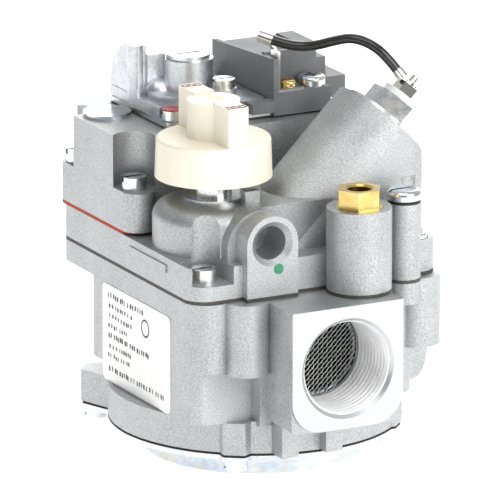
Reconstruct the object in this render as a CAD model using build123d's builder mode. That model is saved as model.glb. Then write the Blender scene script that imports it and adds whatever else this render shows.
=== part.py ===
from build123d import *
import os
from math import cos, radians, sin, tan

# Combination gas control valve with a manual knob, a magnetic safety valve, a main diaphragm
# valve and a servo operator.  Millimetres.  The origin is the middle of the dished bottom cover's
# resting face, on the main diaphragm's axis.  +Z is up, the inlet faces -Y, the label faces -X.

LOW = (Align.CENTER, Align.CENTER, Align.MIN)
HIGH = (Align.CENTER, Align.CENTER, Align.MAX)

# --- levels up the main axis -------------------------------------------------------------------
cover_rim_z = 7.2
cover_top_z = 8.5
flange_z = 9.2
flange_top_z = 18.2
body_top_z = 52.5
gasket_top_z = 53.5
deck_z = 62.5
raised_z = 75.5
block_foot_z = 63.5
block_top_z = 89.0
plate_z = 89.5
plate_top_z = 91.0

# --- lower body --------------------------------------------------------------------------------
base_r = 40.5
lug_places = ((39.1, -125.0), (37.6, -45.2), (38.6, 22.0), (38.6, 80.0), (45.4, 137.8))
lug_reach = 3.7
lug_edge_r = 1.2
side_wall_x = -36.8
rim_left_x = -37.0
rim_right_x = 38.6
rim_front_y = -35.6
rim_back_y = 46.7
boss_foot_z = 33.0
corner_boss_r = 7.2
corner_screw_points = ((-30.4, -28.8), (32.4, -31.6))
edge_screw_points = ((34.3, 6.5), (34.3, 40.0))
edge_boss_r = 4.3
screw_seat_z = 57.5

# --- inlet and outlet, 3/4 inch taper pipe thread ----------------------------------------------
port_x = 0.5
port_z = 35.2
port_w = 33.7
port_face_y = 53.5
port_bore_r = 13.1
port_bore_l = 20.5
port_corner_r = 2.0
port_pad_r = 9.0
port_pad_t = 0.6
screen_depth = 18.5
screen_seat_r = 12.6
port_chamfer = 0.9
side_port_z = 26.0
side_port_r = 14.0
side_port_x = 46.4

# --- main valve --------------------------------------------------------------------------------
seat_r = 10.0
seat_z = 31.0
floor_z = 28.0
outlet_floor_z = 16.0
recess_h = 4.6
stem_r = 3.0
cover_dish_r = 33.6
cover_dish_foot_r = 31.6
cover_t = 1.2

# --- gas cock and knob -------------------------------------------------------------------------
cock_x = -18.9
cock_y = -12.1
dome_r = 16.7
dome_top_z = 75.0
plug_foot_z = 60.5
plug_top_z = 71.0
plug_foot_r = 9.55
plug_top_r = 8.35
running_fit = 0.05
knob_foot_z = 81.7
skirt_top_z = 92.6
skirt_r = 16.0
skirt_top_r = 15.6
grip_r = 7.2
grip_top_z = 102.9
bar_w = 6.2
bar_top_z = 103.6

# --- safety valve and its magnet, on an axis tipped 45 degrees ----------------------------------
power_x = 31.9
power_y = -14.0
power_z = 90.8
power_r = 14.8
power_wall_x = 37.5
chamber_r = 10.0
chamber_l = 31.0
power_axis = Plane(
    origin=(power_x, power_y, power_z), x_dir=(0, 1, 0), z_dir=(1, 0, 1)
)

# --- front ports and bosses of the upper body ---------------------------------------------------
arch_x = -14.4
arch_z = 68.0
arch_r = 7.7
arch_face_y = -38.2
arch_hole_r = 4.65
pilot_x = 10.6
pilot_y = -40.6
pilot_boss_r = 8.9
pilot_top_z = 76.0
cover_screw_x = 26.3
cover_screw_y = -37.0
cover_boss_r = 4.6

# --- side block and operator --------------------------------------------------------------------
block_left_x = -37.0
block_right_x = 30.0
block_front_y = 5.5
block_back_y = 46.4
block_boss_r = 4.6
block_boss_z = 74.4
block_screw_points = ((-32.4, 9.0), (-33.0, 42.4))
plate_left_x = -21.5
plate_right_x = 31.0
plate_front_y = 10.4
plate_back_y = 46.4
tower_x = -6.2
tower_y = 28.0
tower_r = 7.0
tower_bore_r = 5.6
tower_top_z = 104.0
arch_wall_y = 33.5
arch_wall_r = 12.5
operator_screw_points = ((-7.0, 43.5), (6.0, 43.4))
raised_screw_point = (0.2, 19.0)
low_screw_point = (-18.6, 13.3)

# --- terminal block -----------------------------------------------------------------------------
term_left_x = 10.5
term_right_x = 28.1
term_front_y = 9.0
term_shelf_z = 96.0
term_back_y = 46.0
term_wall_t = 1.5
term_top_z = 105.5
term_tail_z = 103.1

# --- screws -------------------------------------------------------------------------------------
head_r = 3.45
head_h = 3.6
shank_r = 2.0
slot_w = 1.1
slot_d = 1.4


def polar(radius, degrees):
    """Return the point at a radius and an angle about the main axis."""
    return (radius * cos(radians(degrees)), radius * sin(radians(degrees)))


def rim_outline():
    """Draw the rounded outline that both bodies and their gasket share."""
    with Locations(((rim_left_x + rim_right_x) / 2, (rim_front_y + rim_back_y) / 2)):
        RectangleRounded(rim_right_x - rim_left_x, rim_back_y - rim_front_y, 6.0)
    with Locations((pilot_x, pilot_y)):
        Circle(pilot_boss_r)
    with Locations((cover_screw_x, cover_screw_y)):
        Circle(cover_boss_r)
    with Locations((arch_x, arch_face_y / 2)):
        Rectangle(2 * arch_r, -arch_face_y)


def flange_outline(inset):
    """Draw the round flange with its tapered screw lugs, smaller all round by an inset."""
    cut = inset + lug_edge_r
    Circle(base_r - cut)
    with Locations(*[Location((*polar(r, a), 0), (0, 0, a)) for r, a in lug_places]):
        Polygon(
            (-9.0, -8.4),
            (lug_reach - cut, -3.4 + cut),
            (lug_reach - cut, 3.4 - cut),
            (-9.0, 8.4),
            align=None,
        )
    offset(amount=lug_edge_r)


def on_level(points, level):
    """Lift plan points to a level."""
    return [(x, y, level) for x, y in points]


def slotted_screws(points, seat, length):
    """Add slotted fillister screws whose heads stand on a level, pointing down."""
    with Locations(*on_level(points, seat)):
        Cylinder(head_r, head_h, align=LOW)
        Cylinder(shank_r, length, align=HIGH)
    with Locations(*on_level(points, seat + head_h)):
        Box(2 * head_r, slot_w, slot_d, align=HIGH, mode=Mode.SUBTRACT)


def clearance_holes(points, level, depth):
    """Cut plain holes for the screws, down from a level."""
    with Locations(*on_level(points, level)):
        Cylinder(shank_r + 0.05, depth, align=HIGH, mode=Mode.SUBTRACT)


def coil(centre, axis, radius, wire_r, height, turns):
    """Wind a round-wire compression spring upwards from a centre along an axis."""
    with BuildLine() as winding:
        Helix(
            pitch=height / turns, height=height, radius=radius, center=centre, direction=axis
        )
    with BuildSketch(Plane(origin=winding.line @ 0, z_dir=winding.line % 0)) as wire:
        Circle(wire_r)
    sweep(sections=wire.sketch, path=winding.line)


def double_flat(radius, width):
    """Draw a round section with two flats, which drives what it fits."""
    Circle(radius)
    Rectangle(2 * radius, width, mode=Mode.INTERSECT)


lug_points = [polar(radius, angle) for radius, angle in lug_places]
through_points = corner_screw_points + edge_screw_points + block_screw_points
inlet_face = Plane(origin=(port_x, -port_face_y, port_z), x_dir=(1, 0, 0), z_dir=(0, -1, 0))
outlet_face = Plane(origin=(port_x, port_face_y, port_z), x_dir=(-1, 0, 0), z_dir=(0, 1, 0))

# ===== lower body: die-cast aluminium ===========================================================
with BuildPart() as lower_body:
    with BuildSketch(Plane.XY.offset(flange_z)):
        flange_outline(0)
    extrude(amount=flange_top_z - flange_z)
    with BuildSketch(Plane.XY.offset(flange_top_z)):
        with Locations((-1.4, -6.0)):
            RectangleRounded(70.8, 50.0, 6.0)
    extrude(amount=6.0)
    with BuildSketch(Plane.XY.offset(flange_top_z + 5.2)):
        with Locations((-1.4, -1.2)):
            RectangleRounded(70.8, 59.6, 4.0)
    extrude(amount=body_top_z - flange_top_z - 5.2)
    with BuildSketch(Plane.XY.offset(46.5)):
        rim_outline()
    extrude(amount=body_top_z - 46.5)
    # Columns for the body screws, stepped where the casting's draw changes.
    with Locations((-29.7, -29.1, boss_foot_z), (32.4, -31.6, boss_foot_z)):
        Cylinder(corner_boss_r, body_top_z - boss_foot_z, align=LOW)
    with Locations(*[(x, y, boss_foot_z) for x, y in edge_screw_points]):
        Cylinder(edge_boss_r, body_top_z - boss_foot_z, align=LOW)
    with Locations((24.6, -31.0, boss_foot_z - 2)):
        Cylinder(6.2, body_top_z - boss_foot_z, align=LOW)
    with BuildSketch(Plane.XY.offset(boss_foot_z - 0.6)):
        with Locations((-20.9, -35.4)):
            Circle(6.4)
        with Locations((-20.9, -31.4)):
            Rectangle(12.8, 8.0)
    extrude(amount=body_top_z - boss_foot_z + 0.6)
    with BuildSketch(Plane.XY.offset(flange_top_z)):
        with Locations((-24.6, -26.3)):
            RectangleRounded(21.4, 14.4, 4.0)
    extrude(amount=boss_foot_z - flange_top_z + 2)
    # Square port bosses, each with a machined pad whose lower corners are round.
    for face in (inlet_face, outlet_face):
        with BuildSketch(face):
            with BuildLine():
                FilletPolyline(
                    (-port_w / 2, body_top_z - port_z),
                    (-port_w / 2, -port_w / 2),
                    (port_w / 2, -port_w / 2),
                    (port_w / 2, body_top_z - port_z),
                    radius=port_pad_r,
                )
                Line(
                    (port_w / 2, body_top_z - port_z), (-port_w / 2, body_top_z - port_z)
                )
            make_face()
        extrude(amount=-2.0)
        with BuildSketch(face.offset(-port_pad_t)):
            with BuildLine():
                FilletPolyline(
                    (-port_w / 2, body_top_z - port_z),
                    (-port_w / 2, -port_w / 2),
                    (port_w / 2, -port_w / 2),
                    (port_w / 2, body_top_z - port_z),
                    radius=port_corner_r,
                )
                Line(
                    (port_w / 2, body_top_z - port_z), (-port_w / 2, body_top_z - port_z)
                )
            make_face()
        extrude(amount=-(port_face_y - port_pad_t - 20.0))
    # Blank side outlet boss.
    with BuildSketch(Plane.YZ.offset(28.0)):
        with Locations((0, side_port_z)):
            Circle(side_port_r)
    extrude(amount=side_port_x - 28.0)
    # Ribs between the inlet boss and the base flange, and the pad beside the boss.
    with Locations((-12.0, -38.5, flange_z), (1.4, -38.5, flange_z)):
        Box(5.0, 11.0, 11.0, align=LOW)
    with Locations((-16.6, -32.4, flange_top_z - 1.0)):
        Box(3.6, 12.0, body_top_z - flange_top_z - 4.0, align=LOW)
    # Chambers: inlet, main valve above its seat, outlet below it.
    with Locations((0, -24.0, 24.0)):
        Box(27.0, 16.0, body_top_z - 24.0 - 3.0, align=LOW, mode=Mode.SUBTRACT)
    with Locations((7.0, -23.5, 40.0)):
        Box(14.0, 13.0, body_top_z - 40.0, align=LOW, mode=Mode.SUBTRACT)
    with Locations((0, 2.0, seat_z)):
        Box(34.0, 30.0, body_top_z - seat_z, align=LOW, mode=Mode.SUBTRACT)
    with Locations((0, 2.0, outlet_floor_z)):
        Box(34.0, 30.0, floor_z - outlet_floor_z, align=LOW, mode=Mode.SUBTRACT)
    with Locations((port_x, 24.5, outlet_floor_z)):
        Box(26.0, 18.0, 30.0, align=LOW, mode=Mode.SUBTRACT)
    with Locations((0, 0, floor_z)):
        Cylinder(seat_r, seat_z - floor_z, align=LOW, mode=Mode.SUBTRACT)
    with Locations((0, 0, seat_z)):
        Cylinder(seat_r + 1.2, 1.2, align=LOW)
        Cylinder(seat_r, 1.2, align=LOW, mode=Mode.SUBTRACT)
    # Diaphragm recess and the guide for the valve stem.
    with Locations((0, 0, flange_z)):
        Cylinder(33.0, recess_h, align=LOW, mode=Mode.SUBTRACT)
        Cylinder(stem_r + running_fit, 8.0, align=LOW, mode=Mode.SUBTRACT)
    # Port bores, open into the chambers, with a ledge for the inlet screen.
    for face, depth in ((inlet_face, screen_depth), (outlet_face, port_bore_l)):
        with BuildSketch(face):
            Circle(port_bore_r)
        extrude(amount=-depth, mode=Mode.SUBTRACT)
        with BuildSketch(face):
            Circle(port_bore_r + port_chamfer)
        extrude(amount=-port_chamfer, taper=45, mode=Mode.SUBTRACT)
    with BuildSketch(inlet_face.offset(-screen_depth)):
        Circle(screen_seat_r)
    extrude(amount=screen_depth - port_bore_l, mode=Mode.SUBTRACT)
    with BuildSketch(inlet_face.offset(-port_bore_l)):
        Circle(11.5)
    extrude(amount=-3.0, mode=Mode.SUBTRACT)
    # Screw holes: cover screws from below, body screws from above.
    with Locations(*[(x, y, flange_z) for x, y in lug_points]):
        Cylinder(shank_r + 0.05, 7.0, align=LOW, mode=Mode.SUBTRACT)
    with Locations(*[(x, y, body_top_z) for x, y in through_points]):
        Cylinder(shank_r + 0.05, 12.0, align=HIGH, mode=Mode.SUBTRACT)
lower_body.part.label = "lower_body"
export_step(lower_body.part, "parts/lower_body.step")

# ===== bottom cover, its screws and the main diaphragm ==========================================
with BuildPart() as bottom_cover:
    with BuildSketch(Plane.XZ):
        with BuildLine():
            FilletPolyline(
                (0, 0),
                (cover_dish_foot_r, 0),
                (cover_dish_r, cover_rim_z),
                (base_r, cover_rim_z),
                radius=(3.5, 1.0),
            )
            Line((base_r, cover_rim_z), (base_r, cover_top_z))
            FilletPolyline(
                (base_r, cover_top_z),
                (cover_dish_r - 0.9, cover_top_z),
                (cover_dish_foot_r - 1.0, cover_t),
                (0, cover_t),
                radius=(2.0, 2.4),
            )
            Line((0, cover_t), (0, 0))
        make_face()
    revolve(axis=Axis.Z)
    with BuildSketch(Plane.XY.offset(cover_rim_z)):
        flange_outline(0)
        Circle(cover_dish_r + 2.0, mode=Mode.SUBTRACT)
    extrude(amount=cover_top_z - cover_rim_z)
    clearance_holes(lug_points, cover_top_z, cover_top_z - cover_rim_z)
bottom_cover.part.label = "bottom_cover"
export_step(bottom_cover.part, "parts/bottom_cover.step")

with BuildPart() as cover_screws:
    with Locations(*on_level(lug_points, cover_rim_z)):
        Cylinder(3.3, 2.9, align=HIGH)
        Cylinder(shank_r, 7.5, align=LOW)
    with Locations(*on_level(lug_points, cover_rim_z - 2.9)):
        Box(2 * head_r, slot_w, slot_d, align=LOW, mode=Mode.SUBTRACT)
cover_screws.part.label = "cover_screws"
export_step(cover_screws.part, "parts/cover_screws.step")

with BuildPart() as main_diaphragm:
    with BuildSketch(Plane.XY.offset(cover_top_z)):
        flange_outline(0.3)
        with Locations(*lug_points):
            Circle(shank_r + 0.1, mode=Mode.SUBTRACT)
    extrude(amount=flange_z - cover_top_z)
main_diaphragm.part.label = "main_diaphragm"
export_step(main_diaphragm.part, "parts/main_diaphragm.step")

# ===== main valve: plate, stem, rubber disc and spring ==========================================
plate_t = 1.2
disc_foot_z = seat_z + 1.25
disc_t = 3.0

with BuildPart() as diaphragm_plate:
    with Locations((0, 0, flange_z)):
        Cylinder(24.0, plate_t, align=LOW)
diaphragm_plate.part.label = "diaphragm_plate"
export_step(diaphragm_plate.part, "parts/diaphragm_plate.step")

with BuildPart() as main_valve_stem:
    with Locations((0, 0, flange_z + plate_t)):
        Cylinder(stem_r, 28.0, align=LOW)
    with Locations((0, 0, disc_foot_z + disc_t)):
        Cylinder(8.6, 1.1, align=LOW)
main_valve_stem.part.label = "main_valve_stem"
export_step(main_valve_stem.part, "parts/main_valve_stem.step")

with BuildPart() as main_valve_disc:
    with Locations((0, 0, disc_foot_z)):
        Cylinder(seat_r + 1.2, disc_t, align=LOW)
        Cylinder(stem_r, disc_t, align=LOW, mode=Mode.SUBTRACT)
main_valve_disc.part.label = "main_valve_disc"
export_step(main_valve_disc.part, "parts/main_valve_disc.step")

with BuildPart() as main_valve_spring:
    spring_foot_z = disc_foot_z + disc_t + 1.7
    coil((0, 0, spring_foot_z), (0, 0, 1), 6.0, 0.5, gasket_top_z - 0.6 - spring_foot_z, 5)
main_valve_spring.part.label = "main_valve_spring"
export_step(main_valve_spring.part, "parts/main_valve_spring.step")

# ===== body gasket ==============================================================================
with BuildPart() as body_gasket:
    with BuildSketch(Plane.XY.offset(body_top_z)):
        rim_outline()
        with Locations((0, 2.0)):
            Rectangle(34.0, 30.0, mode=Mode.SUBTRACT)
        with Locations((7.0, -23.5)):
            Rectangle(14.0, 13.0, mode=Mode.SUBTRACT)
        with Locations(*through_points):
            Circle(shank_r + 0.1, mode=Mode.SUBTRACT)
    extrude(amount=gasket_top_z - body_top_z)
body_gasket.part.label = "body_gasket"
export_step(body_gasket.part, "parts/body_gasket.step")

# ===== upper body: die-cast aluminium ===========================================================
cock_axis = Axis((cock_x, cock_y, 0), (0, 0, 1))
cock_section = Plane(origin=(cock_x, cock_y, 0), x_dir=(1, 0, 0), z_dir=(0, -1, 0))
arch_face = Plane(origin=(arch_x, arch_face_y, arch_z), x_dir=(1, 0, 0), z_dir=(0, -1, 0))
lever_mid_y = -12.6
lever_x = -5.4
lever_z = 66.1
pin_r = 1.1
spigot_r = 8.0

with BuildPart() as upper_body:
    # Housing of the safety valve: a tipped cylinder with straight walls down to the deck.
    with BuildSketch(power_axis):
        Circle(power_r)
        with Locations((0, -30.0)):
            Rectangle(2 * power_r, 60.0)
    extrude(amount=-75.0)
    with BuildSketch(Plane.XY.offset(gasket_top_z)):
        with Locations((power_x - 22.0, power_y)):
            Rectangle(44.0, 2 * power_r)
        with Locations((power_x, power_y)):
            Ellipse(power_r * cos(radians(45)), power_r)
        with Locations((power_wall_x + 10.0, power_y)):
            Rectangle(20.0, 3 * power_r, mode=Mode.SUBTRACT)
    extrude(amount=60.0, mode=Mode.INTERSECT)
    # Rim, raised deck, dome over the cock.
    with BuildSketch(Plane.XY.offset(gasket_top_z)):
        rim_outline()
    extrude(amount=deck_z - gasket_top_z)
    with Locations((2.0, -12.2, deck_z - 2.0)):
        Box(36.0, 31.6, raised_z - deck_z + 2.0, align=LOW)
    with BuildSketch(cock_section):
        with BuildLine():
            FilletPolyline(
                (0, gasket_top_z),
                (dome_r, gasket_top_z),
                (dome_r, dome_top_z),
                (0, dome_top_z),
                radius=(0.1, 4.6),
            )
            Line((0, dome_top_z), (0, gasket_top_z))
        make_face()
    revolve(axis=cock_axis)
    # Front arch with the pilot port, and the wider arch behind it.
    with BuildSketch(arch_face):
        Circle(arch_r)
        with Locations((0, (gasket_top_z - arch_z) / 2)):
            Rectangle(2 * arch_r, arch_z - gasket_top_z)
    extrude(amount=-12.0)
    with BuildSketch(arch_face.offset(-6.6)):
        with Locations((-0.4, -2.0)):
            Circle(9.8)
            with Locations((0, -5.0)):
                Rectangle(19.6, 10.0)
    extrude(amount=-12.0)
    # Pilot fitting boss, cover screw boss, and the web that ties them to the housing.
    with Locations((pilot_x, pilot_y, gasket_top_z)):
        Cylinder(pilot_boss_r, pilot_top_z - gasket_top_z, align=LOW)
    with Locations((cover_screw_x, cover_screw_y, gasket_top_z)):
        Cylinder(cover_boss_r, 21.0, align=LOW)
    with Locations((17.0, -31.0, gasket_top_z + 1.0)):
        Box(14.0, 10.0, 19.4, align=LOW)
    # Side pad strip, the dome's flat top and the stop lug beside the stem.
    with Locations((rim_left_x + 0.4, -8.6, 58.2)):
        Box(1.6, 22.0, 2.2, align=LOW)
    with Locations((cock_x, cock_y, dome_top_z)):
        Cylinder(12.1, 1.2, align=LOW, mode=Mode.SUBTRACT)
    with Locations((cock_x + 6.4, cock_y - 9.2, dome_top_z - 2.0)):
        Box(4.4, 3.0, 5.8, align=LOW)
    # Screw seats.
    with Locations((-30.4, -28.8, screw_seat_z)):
        Cylinder(5.6, 20.0, align=LOW, mode=Mode.SUBTRACT)
    with Locations((-30.4, -32.8, screw_seat_z)):
        Box(11.2, 8.0, 20.0, align=LOW, mode=Mode.SUBTRACT)
    with Locations((32.4, -31.6, screw_seat_z + 1.5)):
        Cylinder(3.8, 20.0, align=LOW, mode=Mode.SUBTRACT)
    with Locations(*on_level(edge_screw_points, screw_seat_z + 1.5)):
        Cylinder(3.9, 20.0, align=LOW, mode=Mode.SUBTRACT)
    clearance_holes(through_points, raised_z, raised_z - gasket_top_z)
    # Taper bore for the cock plug, the room under it and the bushing's seat above it.
    with BuildSketch(cock_section):
        with BuildLine():
            Polyline(
                (0, gasket_top_z),
                (10.4, gasket_top_z),
                (10.4, plug_foot_z),
                (plug_foot_r + running_fit, plug_foot_z),
                (plug_top_r + running_fit, plug_top_z),
                (spigot_r, plug_top_z + 0.1),
                (spigot_r, dome_top_z),
                (0, dome_top_z),
                close=True,
            )
        make_face()
    revolve(axis=cock_axis, mode=Mode.SUBTRACT)
    # Slot for the reset lever and the bore for its pin.
    with Locations((-12.5, lever_mid_y, gasket_top_z)):
        Box(13.0, 6.2, plug_foot_z - gasket_top_z, align=LOW, mode=Mode.SUBTRACT)
    with Locations((-1.5, lever_mid_y, gasket_top_z)):
        Box(14.0, 6.2, 17.0, align=LOW, mode=Mode.SUBTRACT)
    with BuildSketch(Plane.XZ.offset(-lever_mid_y - 5.0)):
        with Locations((lever_x, lever_z)):
            Circle(pin_r + 0.02)
    extrude(amount=10.0, mode=Mode.SUBTRACT)
    # Magnet chamber, valve seat bore and the pocket over the inlet.
    with BuildSketch(power_axis):
        Circle(chamber_r)
    extrude(amount=-chamber_l, mode=Mode.SUBTRACT)
    with BuildSketch(power_axis):
        Circle(6.0)
    extrude(amount=-50.0, mode=Mode.SUBTRACT)
    with Locations((3.0, -21.0, gasket_top_z)):
        Box(22.0, 17.0, 5.5, align=LOW, mode=Mode.SUBTRACT)
    # Gas way from the magnet chamber to the cock, and from the cock to the main valve.
    with BuildSketch(Plane.YZ.offset(-14.0)):
        with Locations((-6.0, 68.0)):
            Circle(2.0)
    extrude(amount=26.0, mode=Mode.SUBTRACT)
    with BuildSketch(Plane.XZ.offset(8.0)):
        with Locations((-15.0, 63.4)):
            Circle(2.6)
    extrude(amount=-12.0, mode=Mode.SUBTRACT)
    with Locations((-14.0, 1.0, gasket_top_z)):
        Cylinder(2.6, 10.0, align=LOW, mode=Mode.SUBTRACT)
    # Pilot port, drilled through to the cock.
    with BuildSketch(arch_face):
        Circle(arch_hole_r)
    extrude(amount=-12.0, mode=Mode.SUBTRACT)
    with BuildSketch(arch_face):
        Circle(arch_hole_r + 1.5)
    extrude(amount=-1.5, taper=45, mode=Mode.SUBTRACT)
    with BuildSketch(arch_face):
        Circle(1.2)
    extrude(amount=-19.0, mode=Mode.SUBTRACT)
    # Pilot fitting and pilot adjuster bores.
    with Locations((pilot_x, pilot_y, pilot_top_z)):
        Cylinder(6.6, 2.4, align=HIGH, mode=Mode.SUBTRACT)
        Cylinder(4.05, 16.0, align=HIGH, mode=Mode.SUBTRACT)
        Cylinder(1.5, 18.5, align=HIGH, mode=Mode.SUBTRACT)
    with Locations((cover_screw_x, cover_screw_y, gasket_top_z + 21.0)):
        Cylinder(2.4, 16.0, align=HIGH, mode=Mode.SUBTRACT)
upper_body.part.label = "upper_body"
export_step(upper_body.part, "parts/upper_body.step")

with BuildPart() as body_screws:
    slotted_screws(corner_screw_points[:1], screw_seat_z, 15.0)
    slotted_screws(corner_screw_points[1:] + edge_screw_points, screw_seat_z + 1.5, 16.5)
body_screws.part.label = "body_screws"
export_step(body_screws.part, "parts/body_screws.step")

# ===== inlet screen =============================================================================
with BuildPart() as inlet_screen:
    with BuildSketch(inlet_face.offset(1.0 - port_bore_l)):
        Circle(screen_seat_r - 0.05)
    extrude(amount=0.5)
inlet_screen.part.label = "inlet_screen"
export_step(inlet_screen.part, "parts/inlet_screen.step")

with BuildPart() as screen_ring:
    with BuildSketch(inlet_face.offset(-port_bore_l)):
        Circle(screen_seat_r - 0.05)
        Circle(11.6, mode=Mode.SUBTRACT)
    extrude(amount=1.0)
screen_ring.part.label = "screen_ring"
export_step(screen_ring.part, "parts/screen_ring.step")

# ===== gas cock, stem and knob ==================================================================
tang_r = 3.0
tang_w = 4.4
shoulder_z = 74.4
stem_nose_z = 59.3
stem_head_z = 98.0
spring_seat_z = 66.0
spring_well_r = 4.9

with BuildPart() as cock_plug:
    with BuildSketch(cock_section):
        with BuildLine():
            Polyline(
                (0, plug_foot_z + 0.05),
                (plug_foot_r, plug_foot_z + 0.05),
                (plug_top_r, plug_top_z),
                (0, plug_top_z),
                close=True,
            )
        make_face()
    revolve(axis=cock_axis)
    with BuildSketch(Plane(origin=(cock_x, cock_y, plug_foot_z))):
        double_flat(tang_r + running_fit, tang_w + 2 * running_fit)
    extrude(amount=20.0, mode=Mode.SUBTRACT)
    with Locations((cock_x, cock_y, plug_top_z)):
        Cylinder(spring_well_r, plug_top_z - spring_seat_z, align=HIGH, mode=Mode.SUBTRACT)
    with BuildSketch(cock_section.offset(-15.0)):
        with Locations((0, 63.4)):
            Circle(2.0)
    extrude(amount=12.0, mode=Mode.SUBTRACT)
cock_plug.part.label = "cock_plug"
export_step(cock_plug.part, "parts/cock_plug.step")

with BuildPart() as cock_spring:
    with BuildSketch(Plane(origin=(cock_x, cock_y, plug_foot_z - 0.4))):
        Circle(9.2)
        Circle(6.5, mode=Mode.SUBTRACT)
    extrude(amount=0.4)
cock_spring.part.label = "cock_spring"
export_step(cock_spring.part, "parts/cock_spring.step")

with BuildPart() as cock_retainer:
    with BuildSketch(Plane(origin=(cock_x, cock_y, plug_foot_z - 1.3))):
        Circle(10.35)
        Circle(6.0, mode=Mode.SUBTRACT)
    extrude(amount=0.9)
cock_retainer.part.label = "cock_retainer"
export_step(cock_retainer.part, "parts/cock_retainer.step")

with BuildPart() as knob_stem:
    with Locations((cock_x, cock_y, stem_nose_z)):
        Cylinder(1.5, 3.0, align=LOW)
    with BuildSketch(Plane(origin=(cock_x, cock_y, stem_nose_z + 2.0))):
        double_flat(tang_r, tang_w)
    extrude(amount=stem_head_z - stem_nose_z - 2.0)
    with Locations((cock_x, cock_y, shoulder_z)):
        Cylinder(5.0, 84.0 - shoulder_z, align=LOW)
knob_stem.part.label = "knob_stem"
export_step(knob_stem.part, "parts/knob_stem.step")

with BuildPart() as knob:
    with Locations((cock_x, cock_y, knob_foot_z)):
        Cone(skirt_r, skirt_top_r, skirt_top_z - knob_foot_z, align=LOW)
    fillet(knob.edges().group_by(Axis.Z)[-1], 0.9)
    with Locations((cock_x, cock_y, skirt_top_z - 2.0)):
        Cylinder(grip_r, grip_top_z - skirt_top_z + 2.0, align=LOW)
    with BuildSketch(Plane(origin=(cock_x, cock_y, skirt_top_z - 2.0))):
        RectangleRounded(bar_w, 2 * skirt_top_r - 0.6, 0.9)
    extrude(amount=bar_top_z - skirt_top_z + 2.0)
    with Locations((cock_x, cock_y, grip_top_z + 6.4)):
        Sphere(7.2, mode=Mode.SUBTRACT)
    with Locations((cock_x, cock_y, grip_top_z)):
        Cylinder(grip_r - 0.8, 3.0, align=LOW, mode=Mode.SUBTRACT)
    with BuildSketch(Plane(origin=(cock_x, cock_y, knob_foot_z))):
        Circle(13.8)
        Circle(7.5, mode=Mode.SUBTRACT)
    extrude(amount=9.4, mode=Mode.SUBTRACT)
    with Locations((cock_x, cock_y, knob_foot_z)):
        Cylinder(5.05, 84.05 - knob_foot_z, align=LOW, mode=Mode.SUBTRACT)
    with BuildSketch(Plane(origin=(cock_x, cock_y, knob_foot_z))):
        double_flat(tang_r + 0.02, tang_w + 0.04)
    extrude(amount=stem_head_z + 0.1 - knob_foot_z, mode=Mode.SUBTRACT)
knob.part.label = "knob"
export_step(knob.part, "parts/knob.step")

with BuildPart() as knob_return_spring:
    coil((cock_x, cock_y, spring_seat_z + 0.5), (0, 0, 1), 4.0, 0.4, 7.4, 4)
knob_return_spring.part.label = "knob_return_spring"
export_step(knob_return_spring.part, "parts/knob_return_spring.step")

with BuildPart() as stem_bushing:
    with BuildSketch(cock_section):
        with BuildLine():
            Polyline(
                (5.1, plug_top_z + 0.3),
                (spigot_r - 0.04, plug_top_z + 0.3),
                (spigot_r - 0.04, dome_top_z + 0.01),
                (8.6, dome_top_z + 0.01),
                (8.6, dome_top_z + 1.3),
                (5.1, dome_top_z + 1.3),
                (5.1, 74.2),
                (6.9, 74.2),
                (6.9, 72.4),
                (5.1, 72.4),
                close=True,
            )
        make_face()
    revolve(axis=cock_axis)
stem_bushing.part.label = "stem_bushing"
export_step(stem_bushing.part, "parts/stem_bushing.step")

with BuildPart() as stem_o_ring:
    with BuildSketch(cock_section):
        with Locations((6.0, 73.3)):
            Circle(0.85)
    revolve(axis=cock_axis)
stem_o_ring.part.label = "stem_o_ring"
export_step(stem_o_ring.part, "parts/stem_o_ring.step")

# ===== reset lever that carries the knob's push to the safety valve =============================
with BuildPart() as reset_lever:
    with BuildSketch(Plane.XZ.offset(-lever_mid_y - 1.8)):
        with Locations((lever_x, lever_z)):
            Circle(2.4)
        with BuildLine():
            Polyline(
                (lever_x + 0.6, lever_z),
                (-6.2, 57.1),
                (-20.4, 57.1),
                (-20.4, 58.9),
                (-8.0, 58.9),
                (lever_x - 1.6, lever_z),
                close=True,
            )
        make_face()
        with BuildLine():
            Polyline(
                (lever_x - 1.0, lever_z - 1.0),
                (0.2, 59.2),
                (1.6, 60.5),
                (lever_x + 1.2, lever_z + 1.2),
                close=True,
            )
        make_face()
        with Locations((0.89, 59.79)):
            Circle(1.1)
        with Locations((lever_x, lever_z)):
            Circle(pin_r + running_fit, mode=Mode.SUBTRACT)
    extrude(amount=3.6)
reset_lever.part.label = "reset_lever"
export_step(reset_lever.part, "parts/reset_lever.step")

with BuildPart() as lever_pin:
    with BuildSketch(Plane.XZ.offset(-lever_mid_y - 4.8)):
        with Locations((lever_x, lever_z)):
            Circle(pin_r)
    extrude(amount=9.6)
lever_pin.part.label = "lever_pin"
export_step(lever_pin.part, "parts/lever_pin.step")

# ===== safety valve, its magnet and the terminal stud, along the tipped axis ====================
stud_r = 1.8
neck_r = 5.0
nut_across_corners = 16.5
seal_t = 1.2
nut_top = 6.9
washer_top = 9.0
ring_foot = 12.15

with BuildPart() as safety_disc:
    with BuildSketch(power_axis.offset(-chamber_l + 0.1)):
        Circle(8.0)
        Circle(1.5, mode=Mode.SUBTRACT)
    extrude(amount=2.0)
safety_disc.part.label = "safety_disc"
export_step(safety_disc.part, "parts/safety_disc.step")

with BuildPart() as armature:
    with BuildSketch(power_axis.offset(-42.4)):
        Circle(1.5)
    extrude(amount=21.0)
    with BuildSketch(power_axis.offset(-chamber_l + 2.1)):
        Circle(4.5)
    extrude(amount=0.8)
    with BuildSketch(power_axis.offset(-22.1)):
        Circle(4.6)
    extrude(amount=1.6)
armature.part.label = "armature"
export_step(armature.part, "parts/armature.step")

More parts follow.
